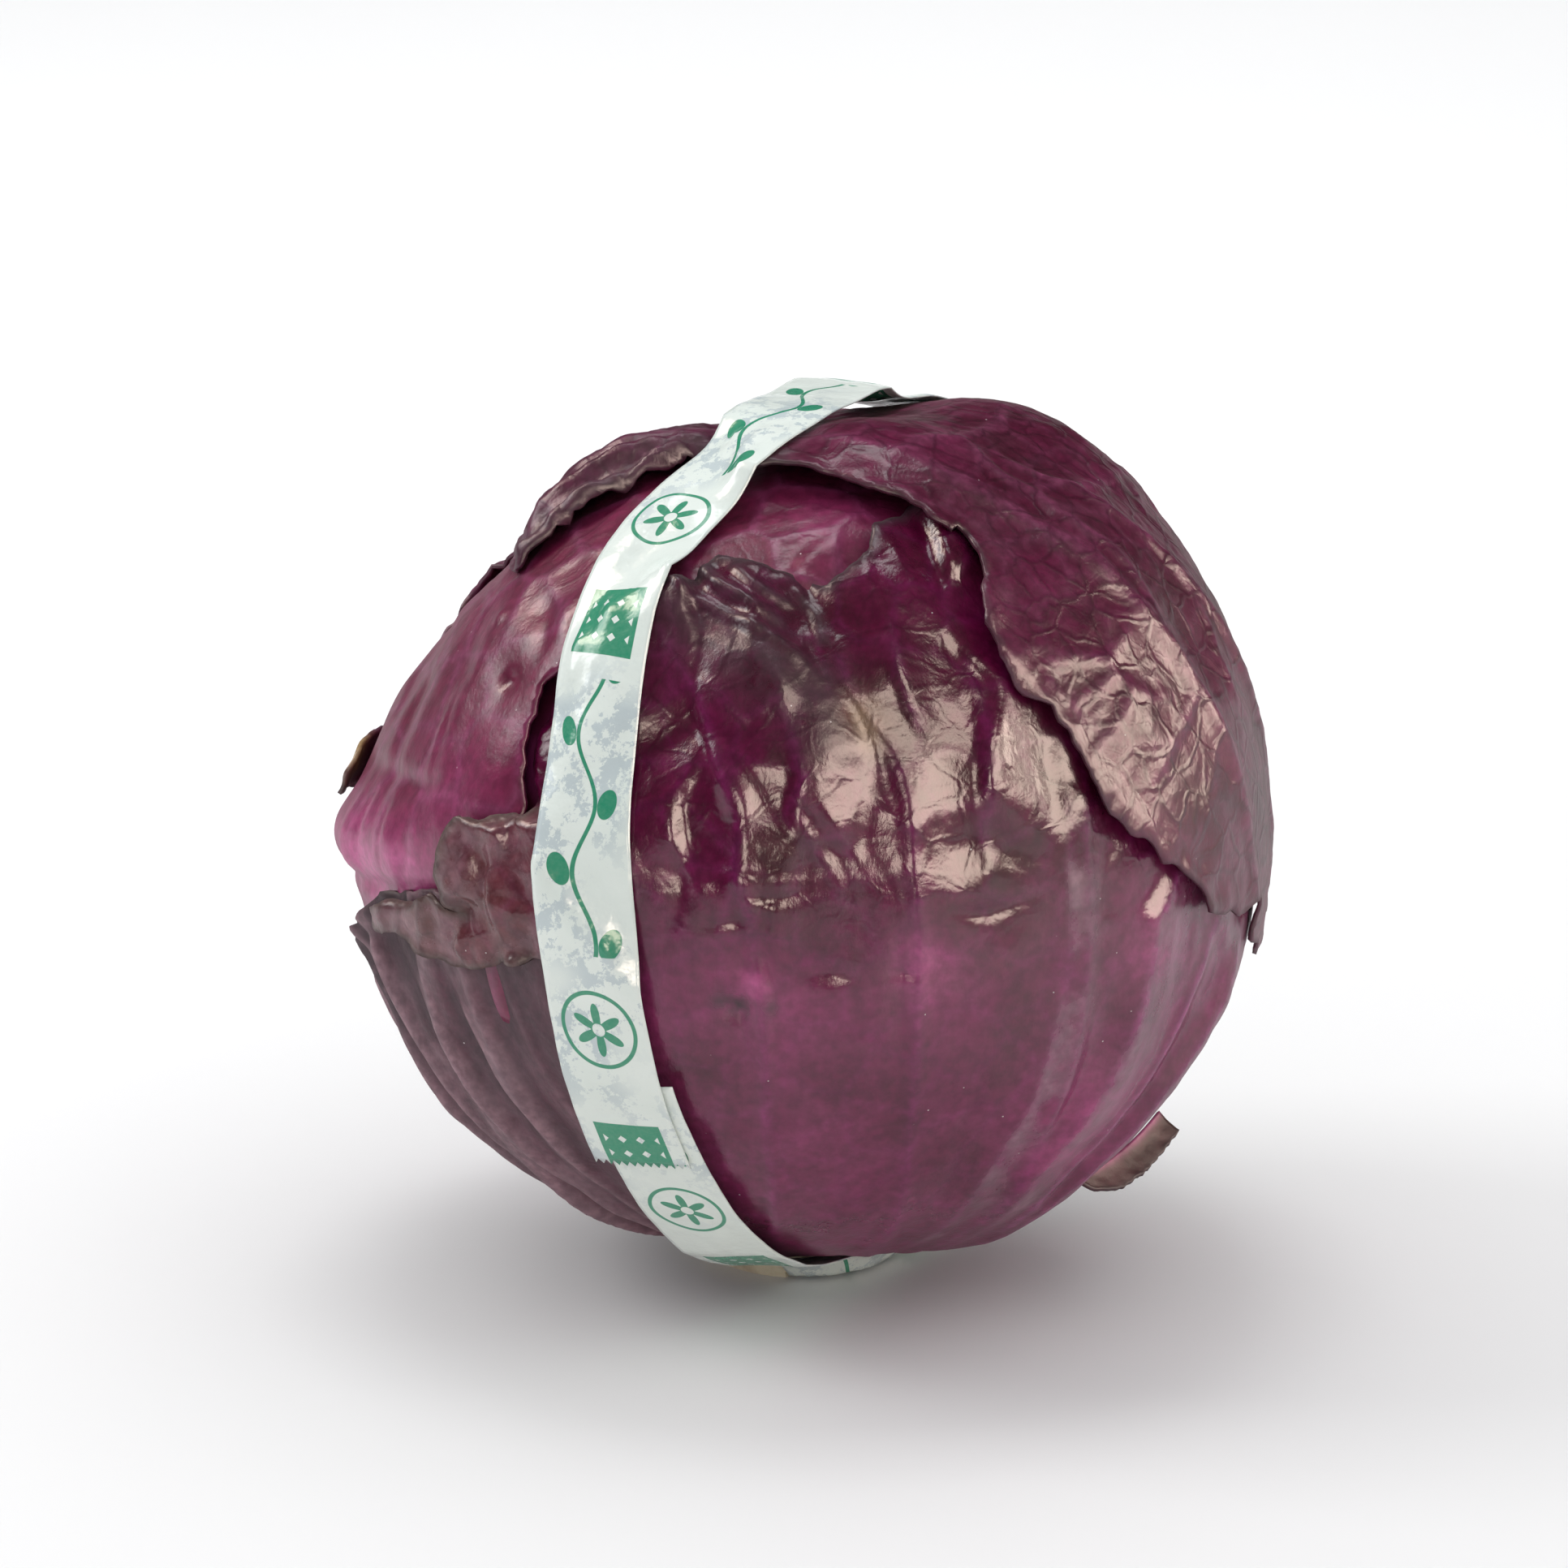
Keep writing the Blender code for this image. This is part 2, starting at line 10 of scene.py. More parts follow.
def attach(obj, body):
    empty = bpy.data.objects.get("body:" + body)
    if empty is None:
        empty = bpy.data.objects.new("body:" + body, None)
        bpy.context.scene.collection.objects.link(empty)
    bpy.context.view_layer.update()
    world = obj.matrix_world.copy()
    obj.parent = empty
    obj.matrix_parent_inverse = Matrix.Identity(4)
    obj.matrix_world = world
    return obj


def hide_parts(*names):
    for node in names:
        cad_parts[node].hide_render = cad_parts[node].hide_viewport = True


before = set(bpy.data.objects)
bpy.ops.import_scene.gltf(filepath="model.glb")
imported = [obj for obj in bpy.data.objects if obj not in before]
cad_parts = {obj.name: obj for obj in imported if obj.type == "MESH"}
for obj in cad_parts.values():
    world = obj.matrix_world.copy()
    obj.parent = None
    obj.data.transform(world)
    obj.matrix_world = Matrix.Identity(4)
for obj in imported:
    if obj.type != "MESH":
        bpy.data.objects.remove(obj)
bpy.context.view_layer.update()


# Table, backdrop and camera. A seamless white sheet lies on the table and curves up behind. The camera
# stands a metre off, 15 degrees above level, with the head a little right of and below the middle.
MM = 0.001
MIDDLE_Z = 62.5
VIEW_DISTANCE = 1000.0
VIEW_HEIGHT_DEG = 15.0
VIEW_WIDTH = 220.8
AIM = (-2.7, 0.0, MIDDLE_Z + 6.4)
SENSOR = 36.0
SHEET_FRONT = -2600
SHEET_BACK = 1500
SHEET_CURVE = 600
SHEET_SIDE = 3000
PAPER_WHITE = (0.78, 0.78, 0.78, 1)

studio = bpy.context.scene
sheet_profile = [(SHEET_FRONT, 0), (SHEET_BACK, 0)]
sheet_profile += [
    (SHEET_BACK + SHEET_CURVE * math.sin(a), SHEET_CURVE - SHEET_CURVE * math.cos(a))
    for a in np.linspace(0.1, 1.0, 8)
]
sheet_points = [(x * MM, y * MM, z * MM) for y, z in sheet_profile for x in (-SHEET_SIDE, SHEET_SIDE)]
sheet_faces = [(2 * n, 2 * n + 1, 2 * n + 3, 2 * n + 2) for n in range(len(sheet_profile) - 1)]
sheet_mesh = bpy.data.meshes.new("paper_sweep")
sheet_mesh.from_pydata(sheet_points, [], sheet_faces)
sheet_mesh.shade_smooth()
paper_sweep = bpy.data.objects.new("paper_sweep", sheet_mesh)
studio.collection.objects.link(paper_sweep)
paper = bpy.data.materials.new("white_paper")
paper.use_nodes = True
paper.node_tree.nodes["Principled BSDF"].inputs["Base Color"].default_value = PAPER_WHITE
paper.node_tree.nodes["Principled BSDF"].inputs["Roughness"].default_value = 0.6
sheet_mesh.materials.append(paper)

tilt = math.radians(VIEW_HEIGHT_DEG)
camera_data = bpy.data.cameras.new("camera")
camera_data.sensor_width = SENSOR
camera_data.lens = SENSOR * VIEW_DISTANCE / VIEW_WIDTH
camera_data.clip_end = 20
camera = bpy.data.objects.new("camera", camera_data)
camera.location = Vector(AIM) * MM + Vector((0, -math.cos(tilt), math.sin(tilt))) * VIEW_DISTANCE * MM
camera.rotation_euler = (math.pi / 2 - tilt, 0, 0)
studio.collection.objects.link(camera)
studio.camera = camera


# Studio light: a soft key on the left and one overhead, two broad bounced lights, five reflector cards
# that the waxy leaves mirror, and a lamp on the backdrop. The room's own pale light is too even to show
# in the skins.
def soft_box(name, azimuth, height, distance, width, tall, watts, tint=(1, 1, 1), fills=True, gleams=True):
    """A rectangular lamp that faces the head. Azimuth 0 is the camera's side, height is in degrees. One
    that only gleams is a reflector card, mirrored in shiny skins. One that doesn't is bounced, even light."""
    data = bpy.data.lights.new(name, "AREA")
    data.shape = "RECTANGLE"
    data.size = width
    data.size_y = tall
    data.energy = watts
    data.color = tint
    lamp = bpy.data.objects.new(name, data)
    around, above = math.radians(azimuth), math.radians(height)
    across = math.cos(above)
    toward = Vector((math.sin(around) * across, -math.cos(around) * across, math.sin(above)))
    lamp.location = Vector((0, 0, MIDDLE_Z * MM)) + toward * distance
    lamp.rotation_euler = toward.to_track_quat("Z", "Y").to_euler()
    lamp.visible_diffuse = fills
    lamp.visible_glossy = gleams
    studio.collection.objects.link(lamp)


WARM = (1, 0.82, 0.68)
ROOM_TINT = (0.97, 0.98, 1, 1)
ROOM_LIGHT = 0.68
BACKDROP_WATTS = 13
soft_box("key", -100, 36, 1.2, 0.55, 0.55, 5.2)
soft_box("overhead", 190, 77, 1.2, 0.42, 0.34, 2.4)
soft_box("bounce_front", 12, 58, 1.5, 1.8, 1.6, 3.5, gleams=False)
soft_box("bounce_right", 85, 40, 1.5, 1.6, 1.4, 2.5, gleams=False)
soft_box("front_card", 50, 20, 1.2, 1.3, 0.45, 24, WARM, False)
soft_box("high_card", 32, 44, 1.2, 0.7, 0.28, 6.5, WARM, False)
soft_box("right_card", 97, 17, 1.2, 0.36, 0.4, 7, WARM, False)
soft_box("left_card", -106, 50, 1.2, 0.42, 0.42, 5.5, WARM, False)
soft_box("low_card", -12, 14, 1.2, 0.34, 0.26, 4, WARM, False)
backdrop_lamp = bpy.data.lights.new("backdrop", "AREA")
backdrop_lamp.size = 1.6
backdrop_lamp.energy = BACKDROP_WATTS
backdrop = bpy.data.objects.new("backdrop", backdrop_lamp)
backdrop.location = (0, 1.05, 1.3)
backdrop.rotation_euler = (math.radians(20), 0, 0)
backdrop.visible_glossy = False
studio.collection.objects.link(backdrop)
room = bpy.data.worlds.new("room")
room.use_nodes = True
room.node_tree.nodes["Background"].inputs["Color"].default_value = ROOM_TINT
room.node_tree.nodes["Background"].inputs["Strength"].default_value = ROOM_LIGHT
room.cycles_visibility.glossy = False
studio.world = room
studio.view_settings.view_transform = "Standard"
studio.view_settings.look = "None"


# Upper left leaf. A smooth, waxy blade that wraps the upper left and makes the dome over the top; at its
# heel the midrib swells into a pale pink knuckle. It lies directly on the inner head.
HALF_WIDTH = 62.0
HALF_HEIGHT = 58.0
SWELLS = [
    (-84, 0, 1.5, 14),
    (-105, 34, -3.0, 22),
    (-108, 47, -4.6, 14),
    (-78, 26, -2.2, 20),
    (55, 35, 1.5, 30),
    (92, 5, -2.0, 18),
    (112, 52, 3.0, 18),
    (-178, 80, -6.4, 20),
    (0, -75, -2.0, 16),
]
MAP_RADIUS = 64.0
BLADE = 0.6
CELLS = 64
FIRST_CELL = 31.7


def unit(lon, lat):
    """Unit vectors toward these longitudes and latitudes, in degrees. Longitude 0 is the front."""
    lon, lat = np.radians(lon), np.radians(lat)
    return np.stack([np.cos(lat) * np.sin(lon), -np.cos(lat) * np.cos(lon), np.sin(lat)], axis=-1)


def fade(away, width):
    """1 where away is 0, and close to 0 beyond twice the width."""
    return np.exp(-((away / width) ** 2))


def swell(directions, lumps):
    """The sum of smooth lumps (longitude, latitude, height, spread in mm along the surface)."""
    total = np.zeros(len(directions))
    for lon, lat, height, spread in lumps:
        away = MAP_RADIUS * np.arccos(np.clip(directions @ unit(lon, lat), -1, 1))
        total += height * fade(away, spread)
    return total


def head_radius(directions):
    """Distance from the head's middle to its surface, before any leaf's own level."""
    flat = (directions[:, 0] ** 2 + directions[:, 1] ** 2) / HALF_WIDTH**2
    return 1 / np.sqrt(flat + directions[:, 2] ** 2 / HALF_HEIGHT**2) + swell(directions, SWELLS)


class Chart:
    """A flat map of the head around one point: lengths from that point are true along the surface."""

    def __init__(self, lon, lat):
        self.out = unit(lon, lat)
        self.east = unit(lon + 90, 0)
        self.north = np.cross(self.out, self.east)

    def flat(self, directions):
        turn = np.arccos(np.clip(directions @ self.out, -1, 1))
        side = np.stack([directions @ self.east, directions @ self.north], axis=-1)
        return side * (MAP_RADIUS * turn / np.maximum(np.sin(turn), 1e-9))[:, None]

    def directions(self, flat):
        length = np.maximum(np.hypot(flat[:, 0], flat[:, 1]), 1e-9)
        turn = length / MAP_RADIUS
        side = (flat[:, :1] * self.east + flat[:, 1:] * self.north) / length[:, None]
        return np.cos(turn)[:, None] * self.out + np.sin(turn)[:, None] * side

    def place(self, points):
        return self.flat(unit(*np.array(points, float)[:, :2].T))


def rounded(points, step):
    """A smooth curve through the points, sampled about every step, without the last point."""
    padded = np.vstack([2 * points[0] - points[1], points, 2 * points[-1] - points[-2]])
    line = []
    for before, start, end, after in zip(padded, padded[1:], padded[2:], padded[3:]):
        pieces = max(1, round(np.linalg.norm(end - start) / step))
        for t in np.arange(pieces) / pieces:
            bend = (end - before) * t + (2 * before - 5 * start + 4 * end - after) * t * t
            line.append(start + 0.5 * (bend + (3 * start - before - 3 * end + after) * t**3))
    return np.array(line)


def stepped(points, step):
    """Straight lines through the points, sampled about every step, without the last point."""
    line = []
    for start, end in zip(points, points[1:]):
        pieces = max(1, round(np.linalg.norm(end - start) / step))
        line += [start + (end - start) * t / pieces for t in range(pieces)]
    return np.array(line)


def to_line(flat, line):
    """For each map point: its distance to a polyline, the place along it as segment number plus share, and
    whether it lies on the left of the line's own direction."""
    best = np.full(len(flat), np.inf)
    where = np.zeros(len(flat))
    on_left = np.zeros(len(flat), bool)
    for number, (start, end) in enumerate(zip(line, line[1:])):
        along = end - start
        share = np.clip((flat - start) @ along / max(along @ along, 1e-12), 0, 1)
        away = np.linalg.norm(flat - start - share[:, None] * along, axis=1)
        nearer = away < best
        best[nearer] = away[nearer]
        where[nearer] = number + share[nearer]
        turned = along[0] * (flat[:, 1] - start[1]) - along[1] * (flat[:, 0] - start[0])
        on_left[nearer] = turned[nearer] > 0
    return best, where, on_left


def inside(flat, outline):
    """Which map points lie within a closed outline."""
    x, y = flat.T
    hit = np.zeros(len(flat), bool)
    for (x0, y0), (x1, y1) in zip(outline, np.roll(outline, -1, axis=0)):
        crosses = (y0 > y) != (y1 > y)
        hit ^= crosses & (x < (x1 - x0) * (y - y0) / np.where(y1 == y0, 1, y1 - y0) + x0)
    return hit


def ripple(flat, size, seed):
    """Smooth random waves about size mm long, between -1 and 1. size may differ along x and y."""
    angles = np.random.default_rng(seed).uniform(0, 2 * np.pi, (CELLS, CELLS))
    cell = flat / np.array(size) + FIRST_CELL
    whole = np.floor(cell).astype(int)
    part = cell - whole
    ease = part**3 * (part * (part * 6 - 15) + 10)
    total = np.zeros(len(flat))
    for dx in (0, 1):
        for dy in (0, 1):
            angle = angles[(whole[:, 0] + dx) % CELLS, (whole[:, 1] + dy) % CELLS]
            weight = np.abs(1 - dx - ease[:, 0]) * np.abs(1 - dy - ease[:, 1])
            total += weight * ((part[:, 0] - dx) * np.cos(angle) + (part[:, 1] - dy) * np.sin(angle))
    return total * 1.5


def net(flat, size, seed):
    """Distance in mm to the nearest strand of an irregular net with meshes about size wide."""
    jitter = np.random.default_rng(seed).uniform(0.1, 0.9, (CELLS, CELLS, 2))
    cell = flat / size + FIRST_CELL
    whole = np.floor(cell).astype(int)
    near = np.full((2, len(flat)), np.inf)
    for dx in (-1, 0, 1):
        for dy in (-1, 0, 1):
            x, y = (whole[:, 0] + dx) % CELLS, (whole[:, 1] + dy) % CELLS
            spot = whole + [dx, dy] + jitter[x, y]
            away = np.linalg.norm(spot - cell, axis=1)
            near = np.sort(np.vstack([near, away]), axis=0)[:2]
    return (near[1] - near[0]) * size / 2


def facets(flat, size, seed):
    """Irregular facets about size mm wide, each leaning its own way, that run softly into each other."""
    dice = np.random.default_rng(seed)
    jitter = dice.uniform(0.1, 0.9, (CELLS, CELLS, 2))
    lean = dice.normal(0, 1, (CELLS, CELLS, 2))
    cell = flat / size + FIRST_CELL
    whole = np.floor(cell).astype(int)
    total, weights = np.zeros(len(flat)), np.zeros(len(flat))
    for dx in (-1, 0, 1):
        for dy in (-1, 0, 1):
            x, y = (whole[:, 0] + dx) % CELLS, (whole[:, 1] + dy) % CELLS
            away = cell - whole - [dx, dy] - jitter[x, y]
            weight = np.exp(-9 * (away**2).sum(axis=1))
            total += weight * (away * lean[x, y]).sum(axis=1) * size
            weights += weight
    return total / weights


class Blade:
    """The points of one leaf on its map, with what its relief and colours are worked out from."""

    def __init__(self, middle, torn, plain, step):
        self.chart = Chart(*middle)
        ragged = stepped(self.chart.place(torn + plain[:1]), step)
        soft = rounded(self.chart.place(plain), step)
        closing = stepped(self.chart.place([plain[-1], torn[0]]), step)
        self.outline = np.vstack([ragged, soft, closing])
        fray = ripple(self.outline, 2.4, 5)[:, None] * 0.5 + ripple(self.outline, 7.0, 6)[:, None] * 0.8
        around = np.roll(self.outline, -1, axis=0) - np.roll(self.outline, 1, axis=0)
        normal = np.stack([around[:, 1], -around[:, 0]], axis=-1)
        self.outline += fray * normal / np.maximum(np.linalg.norm(normal, axis=1, keepdims=True), 1e-9)
        low, high = self.outline.min(axis=0), self.outline.max(axis=0)
        rows = np.arange(low[1], high[1], step * math.sqrt(3) / 2)
        places = np.arange(low[0], high[0], step)
        grid = np.vstack([
            np.stack([places + 0.5 * step * (n % 2), np.full(len(places), y)], axis=-1)
            for n, y in enumerate(rows)
        ])
        grid = grid[inside(grid, self.outline)]
        grid = grid[to_line(grid, np.vstack([self.outline, self.outline[:1]]))[0] > step * 0.6]
        points = [Vector(point) for point in np.vstack([self.outline, grid])]
        loop = list(range(len(self.outline)))
        flat, _, faces, *_ = delaunay_2d_cdt(points, [], [loop], 1, 1e-7)
        self.flat = np.array([tuple(point) for point in flat])
        self.faces = np.array([tuple(face) for face in faces])
        self.directions = self.chart.directions(self.flat)
        self.lon = np.degrees(np.arctan2(self.directions[:, 0], -self.directions[:, 1]))
        self.lat = np.degrees(np.arcsin(np.clip(self.directions[:, 2], -1, 1)))
        self.edge = to_line(self.flat, np.vstack([self.outline, self.outline[:1]]))[0]

    def ridges(self, ridges):
        """Ribs, folds and lifted margins: each is a width and (longitude, latitude, height) points."""
        return self.pleats([(width, width, points) for width, points in ridges])

    def pleats(self, pleats):
        """Ridges with one steep side: the widths to the west and east of a line drawn from top to bottom."""
        total = np.zeros(len(self.flat))
        for west, east, points in pleats:
            away, where, on_left = to_line(self.flat, self.chart.place(points))
            heights = np.interp(where, np.arange(len(points)), [point[2] for point in points])
            total += heights * fade(away, np.where(on_left, east, west))
        return total

    def traced(self, lines, wide, height):
        """The strongest of the lines at each point, with their widths times wide and one height all along."""
        level = [(width * wide, [(lon, lat, height) for lon, lat, _ in points]) for width, points in lines]
        return np.maximum.reduce([self.ridges([line]) for line in level])

    def lumps(self, lumps):
        return swell(self.directions, lumps)

    def drifted(self, amount, size, seed):
        """The map points moved about by up to amount mm, so that a pattern drawn there isn't regular."""
        return self.flat + amount * ripple(self.flat, size, seed)[:, None]


laid = []


def give(mesh, name, values):
    """Stores one value a point, which the mesh's material reads under this name."""
    mesh.attributes.new(name, "FLOAT", "POINT").data.foreach_set("value", values.astype(np.float32))


def thicken(piece, depth):
    """Makes the sheet depth mm thick, inward from its outer face."""
    solid = piece.modifiers.new("thickness", "SOLIDIFY")
    solid.thickness = depth * MM
    solid.offset = -1


def lay_leaf(name, blade, height, paint, finish):
    """The finished leaf: its outer face at height mm over the head, its paint masks and its thickness."""
    points = blade.directions * (head_radius(blade.directions) + height)[:, None]
    faces = blade.faces
    corners = points[faces]
    turned = np.cross(corners[:, 1] - corners[:, 0], corners[:, 2] - corners[:, 0])
    if (turned * corners[:, 0]).sum() < 0:
        faces = faces[:, ::-1]
    laid.append((points, faces))
    mesh = bpy.data.meshes.new(name)
    mesh.from_pydata(((points + [0, 0, MIDDLE_Z]) * MM).tolist(), [], faces.tolist())
    mesh.shade_smooth()
    for mask in ("vein", "glow", "dust", "dry", "tan", "net"):
        give(mesh, mask, np.clip(paint.get(mask, 0) + 0 * blade.lon, 0, 1))
    mesh.materials.append(finish)
    leaf = bpy.data.objects.new(name + "_skin", mesh)
    studio.collection.objects.link(leaf)
    thicken(leaf, BLADE)
    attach(leaf, "root")
    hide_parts(name)


class Tone:
    """A value that varies over a surface. Arithmetic on it adds Math nodes to its material."""

    def __init__(self, finish, socket):
        self.finish = finish
        self.socket = socket

    def math(self, operation, *others):
        return self.finish.node("ShaderNodeMath", {"operation": operation}, self, *others)

    def __add__(self, other):
        return self.math("ADD", other)

    def __sub__(self, other):
        return self.math("SUBTRACT", other)

    def __rsub__(self, other):
        return self.finish.node("ShaderNodeMath", {"operation": "SUBTRACT"}, other, self)

    def __mul__(self, other):
        return self.math("MULTIPLY", other)

    def __truediv__(self, other):
        return self.math("DIVIDE", other)

    def __pow__(self, other):
        return self.math("POWER", other)

    __radd__ = __add__
    __rmul__ = __mul__

    def absolute(self):
        return self.math("ABSOLUTE")

    def step(self, low, high):
        """0 below low, 1 above high, and smooth between."""
        settings = {"interpolation_type": "SMOOTHSTEP"}
        return self.finish.node("ShaderNodeMapRange", settings, self, low, high, 0.0, 1.0)


class Finish:
    """A material with one Principled shader, and the nodes that feed it."""

    def __init__(self, name, **constants):
        self.material = bpy.data.materials.new(name)
        self.material.use_nodes = True
        self.tree = self.material.node_tree
        self.shader = self.tree.nodes["Principled BSDF"]
        for socket, value in constants.items():
            self.shader.inputs[socket.replace("_", " ")].default_value = value
        self.place = self.node("ShaderNodeTexCoord", {}, output="Object")

    def node(self, kind, settings, *values, output=0, **named):
        made = self.tree.nodes.new(kind)
        for setting, value in settings.items():
            setattr(made, setting, value)
        for socket, value in [*enumerate(values), *named.items()]:
            self.put(made.inputs[socket], value)
        return Tone(self, made.outputs[output])

    def put(self, socket, value):
        if isinstance(value, Tone):
            self.tree.links.new(value.socket, socket)
        elif hasattr(socket.default_value, "__len__") and len(value) == 3 and len(socket.default_value) == 4:
            socket.default_value = (*value, 1)
        else:
            socket.default_value = value

    def noise(self, size, detail=3.0, rough=0.55, stretch=(1, 1, 1)):
        """Cloudy noise from 0 to 1 whose patches are about size mm across."""
        spot = self.node("ShaderNodeVectorMath", {"operation": "MULTIPLY"}, self.place, stretch)
        named = {"Vector": spot, "Scale": 1 / (size * MM), "Detail": detail, "Roughness": rough}
        return self.node("ShaderNodeTexNoise", {}, **named)

    def mask(self, name):
        settings = {"attribute_name": name, "attribute_type": "GEOMETRY"}
        return self.node("ShaderNodeAttribute", settings, output="Fac")

    def mix(self, share, first, second):
        """A colour between two colours."""
        return self.shade("MIX", first, second, share)

    def shade(self, mode, colour, factor, share=1.0):
        """A colour with a second one multiplied or added on."""
        made = self.tree.nodes.new("ShaderNodeMix")
        made.data_type = "RGBA"
        made.blend_type = mode
        self.put(made.inputs[0], share)
        self.put(made.inputs[6], colour)
        self.put(made.inputs[7], factor)
        return Tone(self, made.outputs[2])

    def feed(self, **links):
        for socket, value in links.items():
            self.put(self.shader.inputs[socket.replace("_", " ")], value)

    def bump(self, height, depth):
        """Relief of depth mm from a height between 0 and 1."""
        named = {"Strength": 1.0, "Distance": depth * MM, "Height": height}
        self.feed(Normal=self.node("ShaderNodeBump", {}, **named))


PINK_RIB = (0.5, 0.085, 0.26)
DRIED_EDGE_AND_SHADE = (0.05, 0.02, 0.032)
TAN_SCRAP = (0.36, 0.24, 0.11)
DUST_SPECK = (0.75, 0.68, 0.68)
SEAM_SHADE = (0.5, 0.4, 0.5)
SKIN_CELL = 5.6
SKIN_CELL_SMALL = 2.4
SKIN_CELL_DRIFT = 3.5
FLECK_SHADES = [(0.72, 0.68, 0.7), (1.12, 1.1, 1.1)]


def leaf_finish(name, deep, bright, dust, vein, shine, grain=0.05):
    """Waxy leaf skin: deep and bright are its ground colours, dust its pale waxy coat, which also carries
    painted sheen, vein its ribs, which also carries painted highlights. Its masks are laid on the leaf: vein,
    glow, dust, dry, tan, and net for the fine seams between its cells; dry also carries painted shade."""
    finish = Finish(name, IOR=1.5, Specular_IOR_Level=0.55)
    patches = finish.noise(16, 4.0).step(0.3, 0.7)
    flecks = finish.noise(1.6, 3.0).step(0.25, 0.8)
    colour = finish.mix(patches * 0.8, deep, bright)
    # Vein paint: the ribs' own colour, and on the fluted leaf a painted highlight along the flute tops.
    colour = finish.mix(finish.mask("vein") * (0.55 + 0.45 * flecks), colour, vein)
    blotch = finish.noise(11, 4.0, 0.6).step(0.25, 0.75)
    colour = finish.mix(finish.mask("glow") * (0.5 + 1.0 * blotch), colour, PINK_RIB)
    # The dust colour is the pale waxy coat, and on the front leaf's ridge flanks and the fluted leaf's flute
    # tops a painted sheen. The dry colour darkens dried parts and lays painted shade in the fluted leaf's
    # troughs.
    bloom_and_sheen = finish.mask("dust") * finish.noise(9, 5.0, 0.65).step(0.38, 0.68)
    colour = finish.mix(bloom_and_sheen, colour, dust)
    dry = finish.mask("dry") * finish.noise(4, 4.0).step(0.2, 0.5)
    colour = finish.mix(dry, colour, DRIED_EDGE_AND_SHADE)
    colour = finish.mix(finish.mask("tan"), colour, TAN_SCRAP)
    drift = finish.node("ShaderNodeTexNoise", {}, output=1, Vector=finish.place, Scale=1 / (6 * MM))
    add = {"operation": "MULTIPLY_ADD"}
    warped = finish.node("ShaderNodeVectorMath", add, drift, (SKIN_CELL_DRIFT * MM,) * 3, finish.place)
    seam = {"feature": "DISTANCE_TO_EDGE"}
    cells = finish.node("ShaderNodeTexVoronoi", seam, Vector=warped, Scale=1 / (SKIN_CELL * MM))
    small = finish.node("ShaderNodeTexVoronoi", seam, Vector=warped, Scale=1 / (SKIN_CELL_SMALL * MM))
    netted = finish.mask("net")
    seams = (1 - cells.step(0.0, 0.11)) * netted
    fine_seams = (1 - small.step(0.0, 0.14)) * netted
    colour = finish.shade("MULTIPLY", colour, finish.mix(flecks, *FLECK_SHADES))
    colour = finish.shade("MULTIPLY", colour, SEAM_SHADE, seams * 0.55 + fine_seams * 0.2)
    specks = finish.node("ShaderNodeTexVoronoi", {}, Vector=finish.place, Scale=1 / (3.1 * MM))
    speck = (1 - specks.step(0.02, 0.05)) * finish.noise(7, 2.0).step(0.52, 0.6)
    colour = finish.mix(speck * 0.7, colour, DUST_SPECK)
    rim = finish.node("ShaderNodeLayerWeight", {}, 0.5, output=1)
    rough = shine + 0.3 * rim**4 + 0.14 * bloom_and_sheen + 0.16 * dry + 0.07 * finish.noise(3, 3.0)
    finish.feed(Base_Color=colour, Roughness=rough)
    fibres = finish.noise(0.55, 3.0, 0.6, (1, 1, 0.45))
    pillows = (cells.step(0.0, 0.5) * 1.5 + small.step(0.0, 0.5) * 0.4) * netted
    relief = fibres * 0.7 + finish.noise(1.9, 2.0) * 1.1 + seams * 1.1 + fine_seams * 0.25 + pillows
    finish.bump(relief, grain)
    return finish.material


left = Blade(
    (-45, 40),
    [(-30, -10), (-36, 5), (-38, 10), (-38.5, 13), (-38.3, 14.7), (-39.8, 18.3), (-41.4, 22.5), (-40.8, 26.4),
     (-41.6, 30.1), (-39.8, 32.5), (-36, 34.5), (-20, 34), (-8, 38)],
    [(8, 36), (20, 42), (34, 46), (45, 55), (60, 68), (120, 80), (-150, 80), (-125, 60), (-127, 42),
     (-129, 22), (-124, 0), (-106, -16), (-70, -16), (-40, -14)],
    0.95,
)
heel = left.ridges([
    (6, [(-92, 0, 2.6), (-78, 2, 2.8), (-66, 5, 1.8), (-55, 8, 0.5)]),
    (1.6, [(-88, -4, -0.9), (-74, -3, -1), (-62, -1, -0.7), (-54, 1, -0.3)]),
    (1.8, [(-86, 10, -0.3), (-72, 12, -0.6), (-60, 13, -0.5), (-52, 16, -0.2)]),
    (0.8, [(-75, 9, -0.1), (-74, 4, -0.35), (-75, -1, -0.1)]),
    (0.7, [(-68, 10, -0.1), (-66.5, 5, -0.35), (-67, 0, -0.1)]),
    (0.7, [(-61, 9, 0), (-60, 5, -0.25), (-61, 1, 0)]),
])
pleats = left.ridges([
    (3, [(-61, 40, 0.1), (-58, 24, 0.5), (-55, 12, 0.3)]),
    (0.8, [(-62, 26, 0.1), (-61, 21, 0.35), (-60, 15, 0.1)]),
    (3.4, [(-71, 30, 0.2), (-69, 15, 0.5), (-66, 6, 0.3)]),
    (3, [(-80, 26, 0.2), (-77, 14, 0.5), (-73, 6, 0.3)]),
])
toward_heel = np.clip((34 - left.lat) / 20, 0, 1) * np.clip((-44 - left.lon) / 12, 0, 1)
left_net = net(left.flat, 11, 14)
over_heel = np.clip((left.lat - 30) / 15, 0, 1)
